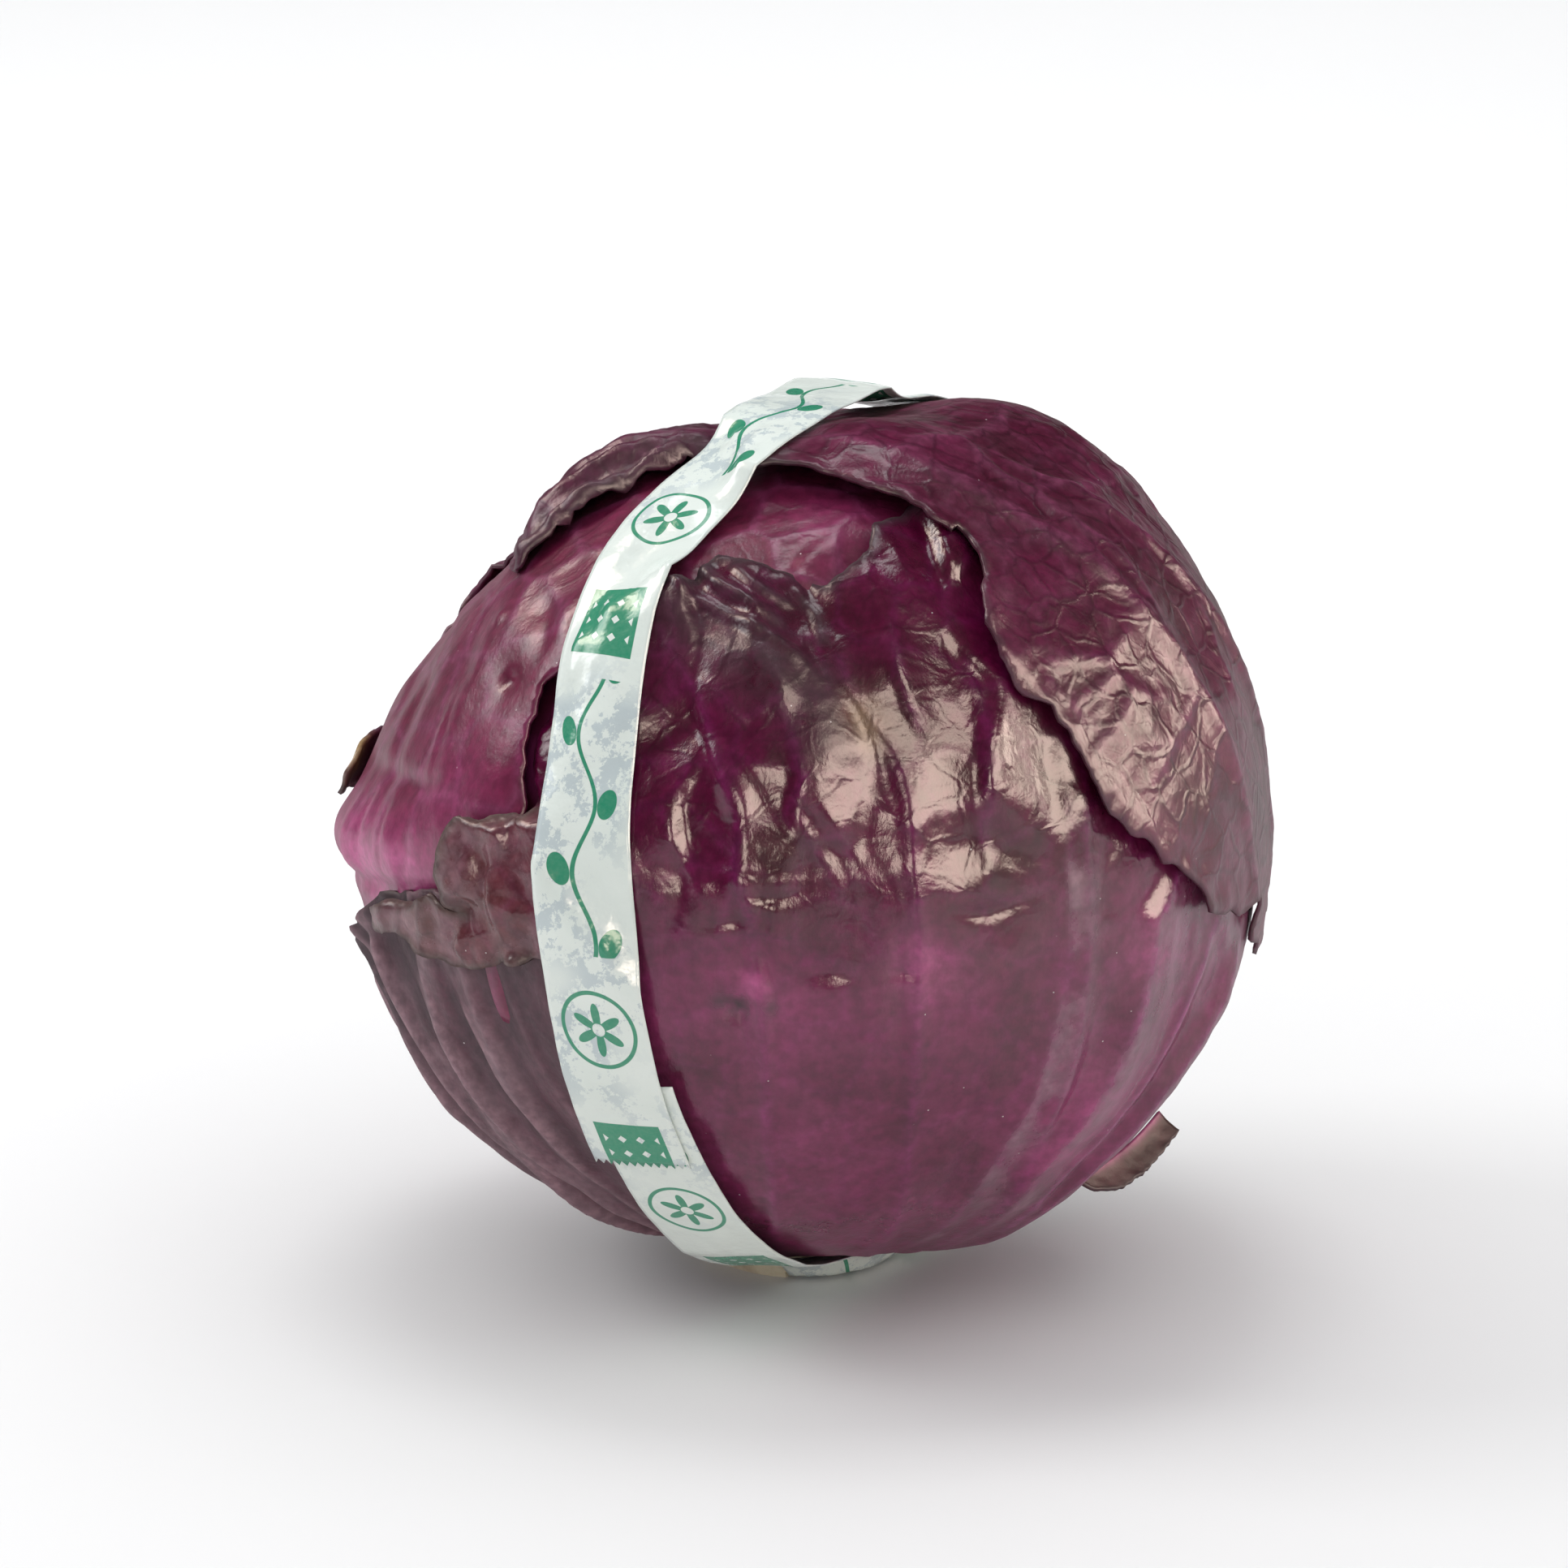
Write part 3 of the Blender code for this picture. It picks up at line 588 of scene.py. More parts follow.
left_height = (
    heel + pleats
    + left.lumps([(5, 57, 1.6, 14), (-46, 20, 1, 10), (-40, 40, 1, 12), (-50, 30, -0.7, 5)])
    + 0.14 * toward_heel * ripple(left.drifted(4, 12, 10), (9, 22), 11)
    + 0.055 * facets(left.drifted(3, 12, 16) * (1, 0.6), 12, 15)
    + left.lumps([
        (-49.8, 29.8, -0.9, 1.3), (-59.7, 37.3, 0.5, 1.2), (-50, 40, -0.6, 3), (-46, 37, -0.5, 2.5),
    ])
    + 0.5 * ripple(left.flat, 16, 12) + 0.05 * ripple(left.flat, 5, 13)
    + 0.25 * fade(left_net, 0.8) * over_heel
)
left_paint = {
    "vein": 0.5 * fade(left_net, 0.7),
    "glow": left.lumps([
        (-73, -1, 1, 7.5), (-60, 2, 0.8, 6), (-86, -2, 0.25, 7), (-54, 12, 0.15, 9), (4, 60, 0.12, 10),
    ]),
    "dust": 0.12 - left.lumps([(4, 57, 0.8, 16), (-70, 1, 0.5, 12), (-40, 16, 0.3, 10)]),
    "net": 0.08 + 0.35 * over_heel,
}
lay_leaf(
    "left_leaf", left, left_height, left_paint,
    leaf_finish(
        "left_leaf_skin", deep=(0.13, 0.005, 0.035), bright=(0.18, 0.01, 0.06),
        dust=(0.2, 0.06, 0.11), vein=(0.25, 0.05, 0.14), shine=0.27,
    ),
)


# Lower left leaf. It has dried and shrunk into long flutes that run down to the stem, grey-plum, with a
# dark crinkled margin under the front leaf's flap. Its flute tops carry a painted highlight and its
# troughs painted shade.
fluted = Blade(
    (-60, -35),
    [(-45, 3), (-60, 0), (-66, -2), (-72, -7), (-80, -12), (-92, -16)],
    [(-106, -15), (-120, -20), (-124, -40), (-117, -58), (-108, -70), (-85, -74), (-45, -75), (-22, -74),
     (-10, -60), (-8, -40), (-12, -20), (-16, -8), (-22, 3)],
    0.85,
)
flute_lines = [
    (1.8, [(-88, -20, 0.9), (-84, -40, 1.8), (-74, -62, 1)]),
    (1.7, [(-77, -13, 1.4), (-69, -35, 1.8), (-56, -56, 1.2), (-46, -70, 0.6)]),
    (1.7, [(-69, -10, 1.2), (-60, -30, 1.7), (-49, -50, 1.2), (-36, -68, 0.6)]),
    (1.6, [(-59, -12, 0.4), (-51, -30, 1.4), (-41, -50, 1), (-30, -68, 0.4)]),
    (1.5, [(-49, -14, 0.3), (-41, -30, 0.8), (-33, -50, 0.6)]),
    (2.2, [(-66, -2, 0.9), (-74, -8, 2.1), (-82, -13, 1.5)]),
]
fan = np.stack([fluted.lon + 0.35 * fluted.lat, fluted.lat], axis=-1)
near_band = np.clip((fluted.lon + 42) / 12, 0, 1)
fan_waves, fan_lines = ripple(fan, (5, 30), 21), ripple(fan, (2.4, 16), 22)
fluted_height = (
    1.2 + fluted.ridges(flute_lines)
    + (1 - near_band) * (1.4 * fan_waves + 0.5 * fan_lines)
    + 0.25 * ripple(fluted.flat, 9, 23)
    + 0.4 * fade(fluted.edge, 3) * ripple(fluted.flat, 3, 24)
)
# The flute waves of the relief, reused as paint: a painted highlight on the flute tops, laid in with the vein
# and dust colours, and painted shade in the troughs, laid in with the dark dried colour.
flute_shading = fan_waves + 0.4 * fan_lines
flute_tops = [(width * 0.7, [(lon, lat, 1) for lon, lat, _ in points]) for width, points in flute_lines]
fluted_paint = {
    "vein": 1.2 * np.maximum(flute_shading, 0) + 0.8 * fluted.ridges(flute_tops),
    "dust": (0.8 - 0.4 * near_band) * (0.75 + 0.5 * flute_shading),
    # Dried patches near the margin, plus painted shade in the flute troughs.
    "dry": fluted.lumps([(-76, -9, 1.2, 8), (-86, -16, 1, 9), (-68, -3, 0.9, 6)])
    - 1.5 * flute_shading * (1 - near_band),
    "net": 0.3,
}
lay_leaf(
    "fluted_leaf", fluted, fluted_height, fluted_paint,
    leaf_finish(
        "fluted_leaf_skin", deep=(0.055, 0.007, 0.022), bright=(0.10, 0.016, 0.04),
        dust=(0.2, 0.115, 0.14), vein=(0.27, 0.15, 0.18), shine=0.38, grain=0.07,
    ),
)


# Back leaf. A plain waxy blade, grown up from the stem, that closes the back. Its margins lie under those
# of the leaves beside it.
back = Blade(
    (150, -25),
    [(96, 12), (105, 16)],
    [(120, 20), (150, 25), (175, 25), (-172, 10), (-168, -15), (-170, -40), (178, -60), (172, -74),
     (140, -75), (112, -74), (104, -60), (98, -40), (94, -20), (92, 0)],
    1,
)
back_ribs = [
    (1.6, [(140, 15, 0.3), (141, -20, 0.9), (142, -50, 1), (142, -70, 0.6)]),
    (1.6, [(128, -5, 0.2), (130, -30, 0.6), (135, -60, 0.6)]),
    (1.6, [(160, 5, 0.2), (156, -30, 0.6), (150, -60, 0.5)]),
]
back_net = net(back.drifted(2, 9, 30), 10, 31)
back_height = (
    1.2 + back.ridges(back_ribs) + 0.4 * ripple(back.flat, 15, 32)
    + 0.25 * fade(back_net, 0.8) - 0.3 * np.abs(ripple(back.flat, 8, 33))
)
back_paint = {
    "vein": back.ridges([(1.5, [(a, b, 0.8) for a, b, _ in line]) for _, line in back_ribs])
    + 0.5 * fade(back_net, 0.7),
    "dust": 0.5,
    "net": 0.6,
}
lay_leaf(
    "back_leaf", back, back_height, back_paint,
    leaf_finish(
        "back_leaf_skin", deep=(0.07, 0.004, 0.024), bright=(0.12, 0.01, 0.05),
        dust=(0.16, 0.08, 0.11), vein=(0.22, 0.05, 0.13), shine=0.3,
    ),
)


# Front leaf. The large glossy blade of the front: blistered and creased in its upper half, smooth below,
# with ribs that run down to the stem, a dried fold along its top and a torn flap on its left.
front = Blade(
    (20, -10),
    [(-32, 40), (-24, 44.5), (-22, 46.5), (-19.5, 49.5), (-17.5, 51.5), (-11, 50.5), (-2, 48.5), (4, 47),
     (7, 48), (10.5, 50), (13.5, 53), (14.5, 55), (18.5, 56), (25.5, 57.5)],
    [(36, 59), (42, 52), (39, 38), (42, 30), (49, 20), (59, 10), (72, 6), (88, 4), (104, 0), (114, -10),
     (117, -30), (112, -50), (106, -66), (95, -74), (40, -75), (0, -75), (-14, -73), (-17, -62), (-21, -50),
     (-24, -38), (-27, -25), (-29, -12), (-32, -3.5), (-37.5, -4.2), (-40, -5), (-44.6, -6.2), (-48, -6.4),
     (-53.5, -6), (-57, -4.6), (-62, -5.5), (-66.5, -6.2), (-65, -3.5), (-59.5, -1), (-53, 1), (-50, 2.2),
     (-47.5, 0.8), (-45.2, 0.5), (-48.3, 1.3), (-49.2, 4.9), (-49.6, 6.2), (-48.4, 8.7), (-47.2, 11.9),
     (-43.8, 12.2), (-40.7, 13.6), (-38.6, 13.9), (-37.5, 14.6), (-38.9, 18.3), (-40.5, 22.5), (-39.9, 26.4),
     (-40.3, 30), (-38.6, 31.5), (-34.5, 32.5), (-33.5, 36)],
    0.8,
)
front_ribs = [
    (1.4, 4.6, [(-23, 39, 0.2), (-19, 35, 0.7), (-15, 31, 0.8), (-12, 25, 1), (-10, 20, 1.2), (-8, 16, 1),
                (-8, 10, 0.9), (-6, 5, 0.6)]),
    (1.2, 3.8, [(-3, 30, 0.6), (-1, 25, 0.8), (0, 21, 0.9), (-1, 17, 0.7), (1, 14, 0.8), (3, 10, 0.3)]),
    (1.5, 4.4, [(5, 36, 0.4), (6, 33, 0.7), (11, 25, 1), (12, 22, 1), (13, 18, 1), (13, 10, 0.8),
                (13.4, 4, 0.5)]),
    (1.1, 3.4, [(13, 37, 0.5), (14, 31, 0.7), (15, 27, 0.3)]),
    (1.2, 5.5, [(24, 34, 0.4), (24, 25, 0.9), (23, 19, 0.9), (22, 12, 0.3)]),
]
front_ridges = [
    (2.2, 8, [(50, 4, 0.8), (46, 0, 1.7), (43, -16.5, 2.2), (36, -34, 2), (37, -50, 1.3),
                (40, -66, 0.5)]),
    (2.4, 7, [(69, -8, 0.8), (65, -15, 2.1), (56, -25, 2.5), (46.5, -45, 2.1), (46, -66, 0.8)]),
    (3, 9, [(33, 12, 0.2), (33, 0, 0.9), (31, -20, 1.1), (27, -40, 0.8), (26, -60, 0.3)]),
]
lower_ribs = [
    (1.2, [(-8, 10, 0.1), (-6, 3, 0.5), (-5, -6, 0.9), (-5, -25, 0.4), (-6, -53, 0.3), (-6, -68, 0.2)]),
    (1.2, [(13, 10, 0.1), (13.4, 3, 0.6), (13.4, -8, 0.7), (14, -25, 0.4), (17, -53, 0.3), (18, -66, 0.2)]),
    (1.6, [(35.5, 16, 0.3), (35, 5, 0.6), (35, -16, 0.6), (34, -41, 0.4), (32, -66, 0.3)]),
    (1.4, [(60, -4, 0.2), (54, -18, 0.7), (44, -36, 0.8), (42, -50, 0.4)]),
    (2, [(90, -6, 0.3), (93, -28, 0.9), (86, -48, 1), (70, -66, 0.5)]),
]
dried_folds = [
    (4.2, [(-24, 44, 0.9), (-19, 41, 1), (-12, 38, 1.1), (-6, 36, 1.1), (-1, 33, 1), (2, 30, 0.8),
           (4, 27, 0.2)]),
    (1, [(-24, 46, 0.8), (-19, 44, 0.7), (-12, 41.5, 0.8), (-6, 39.5, 0.7), (-1, 36.5, 0.7), (2, 33, 0.3)]),
    (1.1, [(-19, 48.5, 0.9), (-15, 46, 1.1), (-9, 43.5, 0.9), (-4, 41, 0.4)]),
    (0.9, [(-13, 49, 0.5), (-9, 46.5, 0.7), (-3, 44, 0.4)]),
    (0.9, [(-1, 46, 0.5), (2, 42, 0.6), (3, 38, 0.2)]),
]
front_dents = [
    (-14, 13, -0.9, 6), (-1, 11, -0.5, 4), (6, 14, -0.8, 5), (18, 13, -1, 5), (-16, 24, -0.8, 5),
    (2, 26, 0.8, 5), (31, 18, 0.8, 7), (20, 44, 0.8, 8), (-2, 1, -0.4, 5), (24, 3, -0.5, 6),
    (-45, 6, 1.2, 7), (-60, -3, 1.2, 6), (-6, 23, 0.5, 3.5), (-4, 13, 0.6, 3.5), (5, 25, 0.5, 4),
    (14, 35, 0.5, 5), (20, 31, 0.5, 5), (21, 24, 0.5, 4), (-3, 17, -0.5, 3), (8, 22, -0.4, 3),
    (22, 9, 0.5, 4), (17, 20, -0.4, 3.5), (26, 12, -0.4, 5), (33, 25, 0.5, 5), (-8, -7, -1, 2),
    (-20, 18, 0.4, 4), (-10, 31, 0.4, 5), (28, 36, -0.4, 5), (6, 4, -0.4, 5), (40, 8, 0.4, 5),
]
creases = [
    (0.9, [(0, -2.5, 0), (3, -2.2, -0.5), (7, -2.6, 0)]),
    (0.9, [(9, -2.5, 0), (12, -2.1, -0.5), (16, -2.6, 0)]),
    (0.8, [(-14, 3, 0), (-8, 4.5, -0.6), (-2, 4, 0)]),
    (0.8, [(-9, 8, 0), (-4, 7, -0.5), (2, 8, 0)]),
    (0.9, [(16, 5, 0), (22, 4, -0.5), (30, 6, 0)]),
    (0.7, [(4, -10.5, 0), (8, -11, -0.4), (10, -10.8, 0)]),
]


def ramp(values, low, high):
    """0 below low, 1 above high, and smooth between."""
    share = np.clip((values - low) / (high - low), 0, 1)
    return share * share * (3 - 2 * share)


upper = np.clip((front.lat + 3 + 9 * ripple(front.flat, 13, 52)) / 13, 0, 1)
upper *= np.clip((58 - front.lon) / 14, 0, 1)
front_net = net(front.drifted(1.6, 7, 40), 8.5, 41)
fine_net = net(front.drifted(0.8, 3, 42), 3.4, 43)
flap = np.clip((-31 - front.lon) / 4, 0, 1) * (front.lat < 15)
tucked = ramp(-front.lon, 30, 36) * ramp(front.lat, 12.5, 16) * (1 - ramp(front.lat, 30, 34))
front_height = (
    3.0 - 4.1 * tucked + front.pleats(front_ribs) + front.pleats(front_ridges) + front.ridges(lower_ribs)
    + front.ridges(dried_folds) + front.ridges(creases) + front.lumps(front_dents)
    + upper * (0.1 * fade(front_net, 0.8) + 0.13 * facets(front.drifted(3, 12, 49) * (1, 0.5), 10, 44))
    + (1 - upper) * (0.3 * ripple(front.flat, 15, 45) + 0.12 * ripple(front.flat, (3, 30), 46))
    + 0.045 * facets(front.drifted(3, 14, 54) * (1, 0.45), 11, 53)
    + 0.03 * fade(fine_net, 0.4)
    + 0.16 * flap * facets(front.flat, 7, 50) + 0.3 * flap * ripple(front.flat, (2.5, 7), 51)
    + 0.5 * fade(front.edge, 3) * ripple(front.flat, 4, 47)
)
# Painted reflection: a pale sheen along the east flanks of the lower right ridges, laid into the dust mask.
flank_sheen = front.pleats([(0.5, 4.5, [(lon, lat, 1) for lon, lat, _ in rib[-1]]) for rib in front_ridges])
fold_mask = (1 - tucked) * front.traced(dried_folds, 1.5, 1)
thin_lines = [(0.7, rib[-1]) for rib in front_ribs + front_ridges + lower_ribs]
front_paint = {
    "vein": (0.25 + 0.45 * ramp(front.lon, 38, 44)) * front.traced(thin_lines, 1, 1)
    + 0.15 * fade(front_net, 0.5),
    "glow": 0.16 * (1 - upper) * (1 - flap) + front.lumps([
        (41, -27, 0.25, 9), (-5, -5, 0.2, 5), (14, -2, 0.25, 5), (46, -3, 0.3, 6), (-6, -3, 0.6, 1.5),
        (14.5, -1, 0.5, 1.6),
    ]),
    # The dust mask holds the pale coat of the dried flap and the right side, and the painted sheen on the
    # ridge flanks.
    "dust": flank_sheen + np.maximum(0.7 * flap + 0.03, 0.2 * np.clip((front.lon - 60) / 30, 0, 1)),
    "dry": front.lumps([(-8, -6.5, 1, 1.6), (-10, -5.6, 0.8, 1.3), (-4, -6.2, 0.6, 1.2)])
    + np.clip(fold_mask * 0.7, 0, 0.75) + np.maximum(flap, front.lat > 35) * fade(front.edge, 1.3),
    "tan": 0.12 * flap + front.lumps([(7.5, 29, 0.35, 2.6), (8.5, 26, 0.3, 2.4)]),
    "net": np.maximum(0.1 + 0.4 * upper, 0.6 * flap),
}
lay_leaf(
    "front_leaf", front, front_height, front_paint,
    leaf_finish(
        "front_leaf_skin", deep=(0.05, 0.0008, 0.011), bright=(0.125, 0.002, 0.044),
        dust=(0.23, 0.115, 0.16), vein=(0.26, 0.02, 0.16), shine=0.19,
    ),
)


# Back left leaf. It closes the left of the back. Its front margin has dried and rolled up along the upper
# left outline, and a tan dried scrap of it sticks out low on the left.
rolled = Blade(
    (-130, 15),
    [(-118, 13), (-106, 10), (-97, 10.5), (-92, 10), (-89.5, 7.5), (-92, 4), (-99, 3), (-108, -1)],
    [(-112, -15), (-110, -35), (-112, -55), (-116, -73), (-140, -75), (-165, -74), (-172, -60),
     (-176, -45), (178, -20), (174, 10), (170, 32), (170, 55), (178, 70), (-120, 83), (-60, 84), (-45, 76),
     (-49, 69), (-56, 62), (-59.5, 56), (-62, 50), (-64, 44), (-74, 44), (-88, 48), (-104, 50), (-119, 46),
     (-124, 37), (-124, 24)],
    0.9,
)
rolls = [
    (1.6, [(-66, 46, 1), (-64, 51, 2), (-62, 57, 2.3), (-58, 63, 2.2), (-54, 70, 2.2), (-50, 75, 1.2)]),
    (1.6, [(-74, 49, 0.8), (-73, 56, 1.8), (-72, 63, 2.3), (-69, 69, 2.1), (-64, 76, 1.4)]),
    (1.5, [(-86, 53, 0.5), (-85, 60, 1.3), (-84, 67, 1.3), (-82, 75, 0.8)]),
]
rolled_ribs = [
    (1.8, [(-135, 60, 0.3), (-136, 20, 0.9), (-138, -30, 1), (-140, -68, 0.6)]),
    (1.6, [(-118, 35, 0.2), (-122, 0, 0.7), (-128, -40, 0.7), (-134, -68, 0.4)]),
    (1.6, [(-160, 40, 0.2), (-158, 0, 0.7), (-152, -40, 0.7), (-146, -68, 0.4)]),
]
rolled_net = net(rolled.drifted(1.8, 8, 50), 9.5, 51)
rolled_height = (
    3.0 - 1.5 * fade(rolled.edge, 7) * (rolled.lat > 30) + rolled.ridges(rolls) + rolled.ridges(rolled_ribs)
    + rolled.lumps([(-104, 10, -1.4, 10), (-88, 44, -0.8, 12)])
    + 0.3 * fade(rolled_net, 0.8) + 0.11 * facets(rolled.drifted(3, 12, 55) * (0.6, 1), 8, 52)
    + 0.3 * ripple(rolled.flat, 17, 53)
    + 0.4 * fade(rolled.edge, 3) * ripple(rolled.flat, 3.5, 54)
)
rolled_paint = {
    "vein": rolled.traced(rolled_ribs, 0.8, 0.7) + 0.4 * fade(rolled_net, 0.6),
    "dust": 0.35,
    "dry": rolled.lumps([(-65, 47, 0.5, 5), (-60, 59, 0.5, 5), (-50, 73, 0.5, 6), (-91, 4.5, 1.2, 2.6)]),
    "tan": rolled.lumps([(-93, 10, 1.3, 4)]),
    "net": 0.6,
}
lay_leaf(
    "rolled_leaf", rolled, rolled_height, rolled_paint,
    leaf_finish(
        "rolled_leaf_skin", deep=(0.065, 0.004, 0.024), bright=(0.125, 0.01, 0.05),
        dust=(0.14, 0.065, 0.09), vein=(0.19, 0.04, 0.11), shine=0.3, grain=0.06,
    ),
)


# Wrapper leaf. A thick, plum-coloured leaf over the upper right and the top, crossed by a raised net of
# veins. It grows from the back, and its torn margin stands off the front leaf.
wrapper = Blade(
    (75, 35),
    [(-25, 75), (-14, 66), (-7, 66.5), (3.5, 64.5), (8, 64), (15.5, 61.5), (21.5, 58), (25, 55.5), (26.5, 53),
     (29, 51), (31, 52), (31.5, 49.5), (31, 46), (29, 42.5), (27.5, 38), (27, 33), (30, 29), (33, 27),
     (34.5, 24), (36, 19), (37.5, 15), (41, 11), (45.5, 7), (48, 6.5), (51.5, 3.5), (54, -1), (59.5, -2),
     (62, -3.5), (71, -3), (72, -9)],
    [(80, -13), (92, -9), (105, -14), (120, -20), (138, -15), (152, -3), (165, 12), (178, 30), (-174, 50),
     (-165, 68), (-120, 82), (-50, 82)],
    0.85,
)
wrapper_ribs = [
    (1.9, [(68, -2, 0.6), (63, 18, 0.9), (58, 33, 1), (50, 48, 0.8), (34, 62, 0.6), (10, 72, 0.3)]),
    (1.6, [(88, -6, 0.5), (82, 20, 0.9), (76, 40, 1), (62, 60, 0.7)]),
    (1.6, [(112, -12, 0.5), (106, 20, 0.8), (104, 45, 0.6)]),
    (1.6, [(140, -8, 0.4), (132, 25, 0.7), (130, 50, 0.5)]),
]
lifted_margin = [
    (2.4, [(15.5, 61.5, 0.2), (26.5, 53, 0.9), (31, 46, 1.1), (27.5, 36, 1.2), (33, 27, 1.2), (37, 17, 1),
           (46, 7, 0.8), (55, -1, 0.9), (70, -4, 0.7)]),
]
wrapper_veins = [
    (0.9, [(35, 32, 0.5), (40, 32, 0.7), (45, 31, 0.7), (50, 33, 0.6), (52, 34, 0.3)]),
    (0.8, [(45, 31, 0.7), (45, 29, 0.7), (47, 27, 0.7), (45, 25, 0.6), (40, 22, 0.5), (38, 21, 0.3)]),
    (0.8, [(47, 27, 0.7), (51, 25, 0.5), (55, 25, 0.2)]),
    (0.8, [(34, 30, 0.4), (37, 26, 0.6), (37, 24, 0.4)]),
    (0.8, [(38, 27, 0.4), (45, 29, 0.6)]),
    (1.1, [(57, 65, 0.6), (53, 59, 1.1), (57, 55, 1), (56, 53, 1), (57, 48, 1.1), (61, 41, 0.8),
           (60, 30, 0.9), (59, 24, 0.9), (52, 20, 0.6), (46, 16, 0.4)]),
    (1.2, [(61, 55, 0.5), (80, 51, 1), (103, 47, 0.8), (91, 44, 0.4)]),
    (1.2, [(26, 65, 0.5), (40, 68, 1), (58, 67, 1), (90, 65, 0.8), (111, 63, 0.4)]),
    (1, [(76, 39, 0.6), (75, 29, 0.8), (73, 27, 0.9), (72, 21, 0.9), (76, 17, 0.5)]),
]
wrapper_net = net(wrapper.drifted(1.4, 7, 60), 7.5, 61)
wrapper_fine = net(wrapper.drifted(0.8, 3, 62), 3, 63)
crinkled = fade(wrapper.lat - 50, 13) * np.clip((wrapper.lon - 40) / 20, 0, 1)
wrapper_height = (
    4.8 + wrapper.ridges(wrapper_ribs) + wrapper.ridges(lifted_margin) + 0.45 * wrapper.ridges(wrapper_veins)
    + wrapper.lumps([
        (35, 70, 1.5, 12), (116, 62, 1.5, 13), (50, 10, 0.6, 8), (60, 45, 0.8, 9), (47, 23, 0.8, 5),
        (32, 35, 0.6, 5), (66, 30, -0.8, 6), (44, 50, -0.6, 6), (70, 58, -0.9, 7), (86, 45, -0.6, 7),
    ])
    + 0.09 * fade(wrapper_net, 0.7) + 0.02 * facets(wrapper.drifted(2, 9, 67), 13, 64)
    + 0.25 * ripple(wrapper.flat, 18, 65) + 0.24 * crinkled * ripple(wrapper.flat, (2.6, 9), 68)
    + 0.04 * fade(wrapper_fine, 0.4)
    + 0.5 * fade(wrapper.edge, 3) * ripple(wrapper.flat, 4, 66)
)
wrapper_paint = {
    "vein": wrapper.traced(wrapper_veins + wrapper_ribs, 0.8, 0.6) + 0.4 * fade(wrapper_net, 0.5),
    "dust": 0.12 + 0.1 * fade(wrapper.edge, 5),
    "dry": wrapper.lumps([(-16, 68, 0.9, 5)]) + 0.5 * fade(wrapper.edge, 0.6),
    "net": 1 - 0.6 * fade(wrapper.edge, 3),
}
lay_leaf(
    "wrapper_leaf", wrapper, wrapper_height, wrapper_paint,
    leaf_finish(
        "wrapper_leaf_skin", deep=(0.07, 0.002, 0.02), bright=(0.145, 0.006, 0.05),
        dust=(0.15, 0.06, 0.09), vein=(0.2, 0.04, 0.1), shine=0.26,
    ),
)


# Leaf stub. The base of an outer leaf that was broken off low on the right. It stands out from the head,
# purple at the root and torn and dried along its end.
STUB_ROOT = [(55, -42.5), (63, -41), (70, -39.5), (78, -36.5)]
STUB_GAP = 0.6
STUB_LENGTH = 4.0
STUB_SAG = 0.6
STUB_ROWS = 16
FRONT_LEVEL = 3.0
stub_line = rounded(np.array(STUB_ROOT, float), 0.5)
stub_directions = unit(*stub_line.T)
stub_columns = len(stub_line)
stub_root = stub_directions * (head_radius(stub_directions) + FRONT_LEVEL + STUB_GAP)[:, None]
taper = 1 - np.abs(np.linspace(-1, 1, stub_columns)) ** 3 * np.linspace(0.8, 0.1, stub_columns)
across_stub = np.linspace(0, 40, stub_columns)
fray = 1 + 0.07 * ripple(np.stack([across_stub, 0 * across_stub], axis=-1), 2.0, 70)
stub_points = []
for share in np.linspace(0, 1, STUB_ROWS):
    wave_map = np.stack([across_stub, 0 * across_stub + share * 6], axis=-1)
    wave = 0.25 * share * ripple(wave_map, 3.5, 71)
    reach_out = stub_directions * (STUB_LENGTH * share * taper * (1 + (fray - 1) * share))[:, None]
    sag = np.array([0, 0, -1]) * STUB_SAG * math.sin(math.pi * 0.7 * share)
    stub_points.append(stub_root + reach_out + sag * taper[:, None] + wave[:, None] * [0, 0, 1])


def grid_faces(rows, columns):
    """The four-sided faces between this many rows and columns of points."""
    corners = [row * columns + column for row in range(rows - 1) for column in range(columns - 1)]
    return [(corner, corner + columns, corner + columns + 1, corner + 1) for corner in corners]


stub_mesh = bpy.data.meshes.new("leaf_stub_skin")
stub_corners = (np.vstack(stub_points) + [0, 0, MIDDLE_Z]) * MM
stub_mesh.from_pydata(stub_corners.tolist(), [], grid_faces(STUB_ROWS, stub_columns))
stub_mesh.shade_smooth()
shares = np.repeat(np.linspace(0, 1, STUB_ROWS), stub_columns)
give(stub_mesh, "glow", fade(shares, 0.15) * 0.8)
give(stub_mesh, "dust", 0.1 * shares)
give(stub_mesh, "dry", fade(1 - shares, 0.12) * 0.9)
stub_mesh.materials.append(
    leaf_finish(
        "leaf_stub_skin", deep=(0.05, 0.001, 0.008), bright=(0.09, 0.003, 0.02),
        dust=(0.08, 0.02, 0.035), vein=(0.14, 0.02, 0.08), shine=0.45,
    )
)
stub = bpy.data.objects.new("leaf_stub_skin", stub_mesh)
studio.collection.objects.link(stub)
thicken(stub, BLADE)
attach(stub, "root")
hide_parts("leaf_stub")


# Inner head. The tight young leaves under the outer ones, grown in one ball on the stem. They are seen
# only through the gaps between the outer leaves.
inner = Finish("inner_leaf_skin", IOR=1.5, Specular_IOR_Level=0.5)
clouds = inner.noise(9, 4.0)
inner.feed(
    Base_Color=inner.mix(clouds.step(0.3, 0.7), (0.05, 0.002, 0.012), (0.13, 0.008, 0.06)),
    Roughness=0.3 + 0.15 * clouds,
)
inner.bump(inner.noise(2.0, 3.0), 0.1)
inner_head = bpy.data.objects["inner_head"]
inner_head.data.materials.clear()
inner_head.data.materials.append(inner.material)


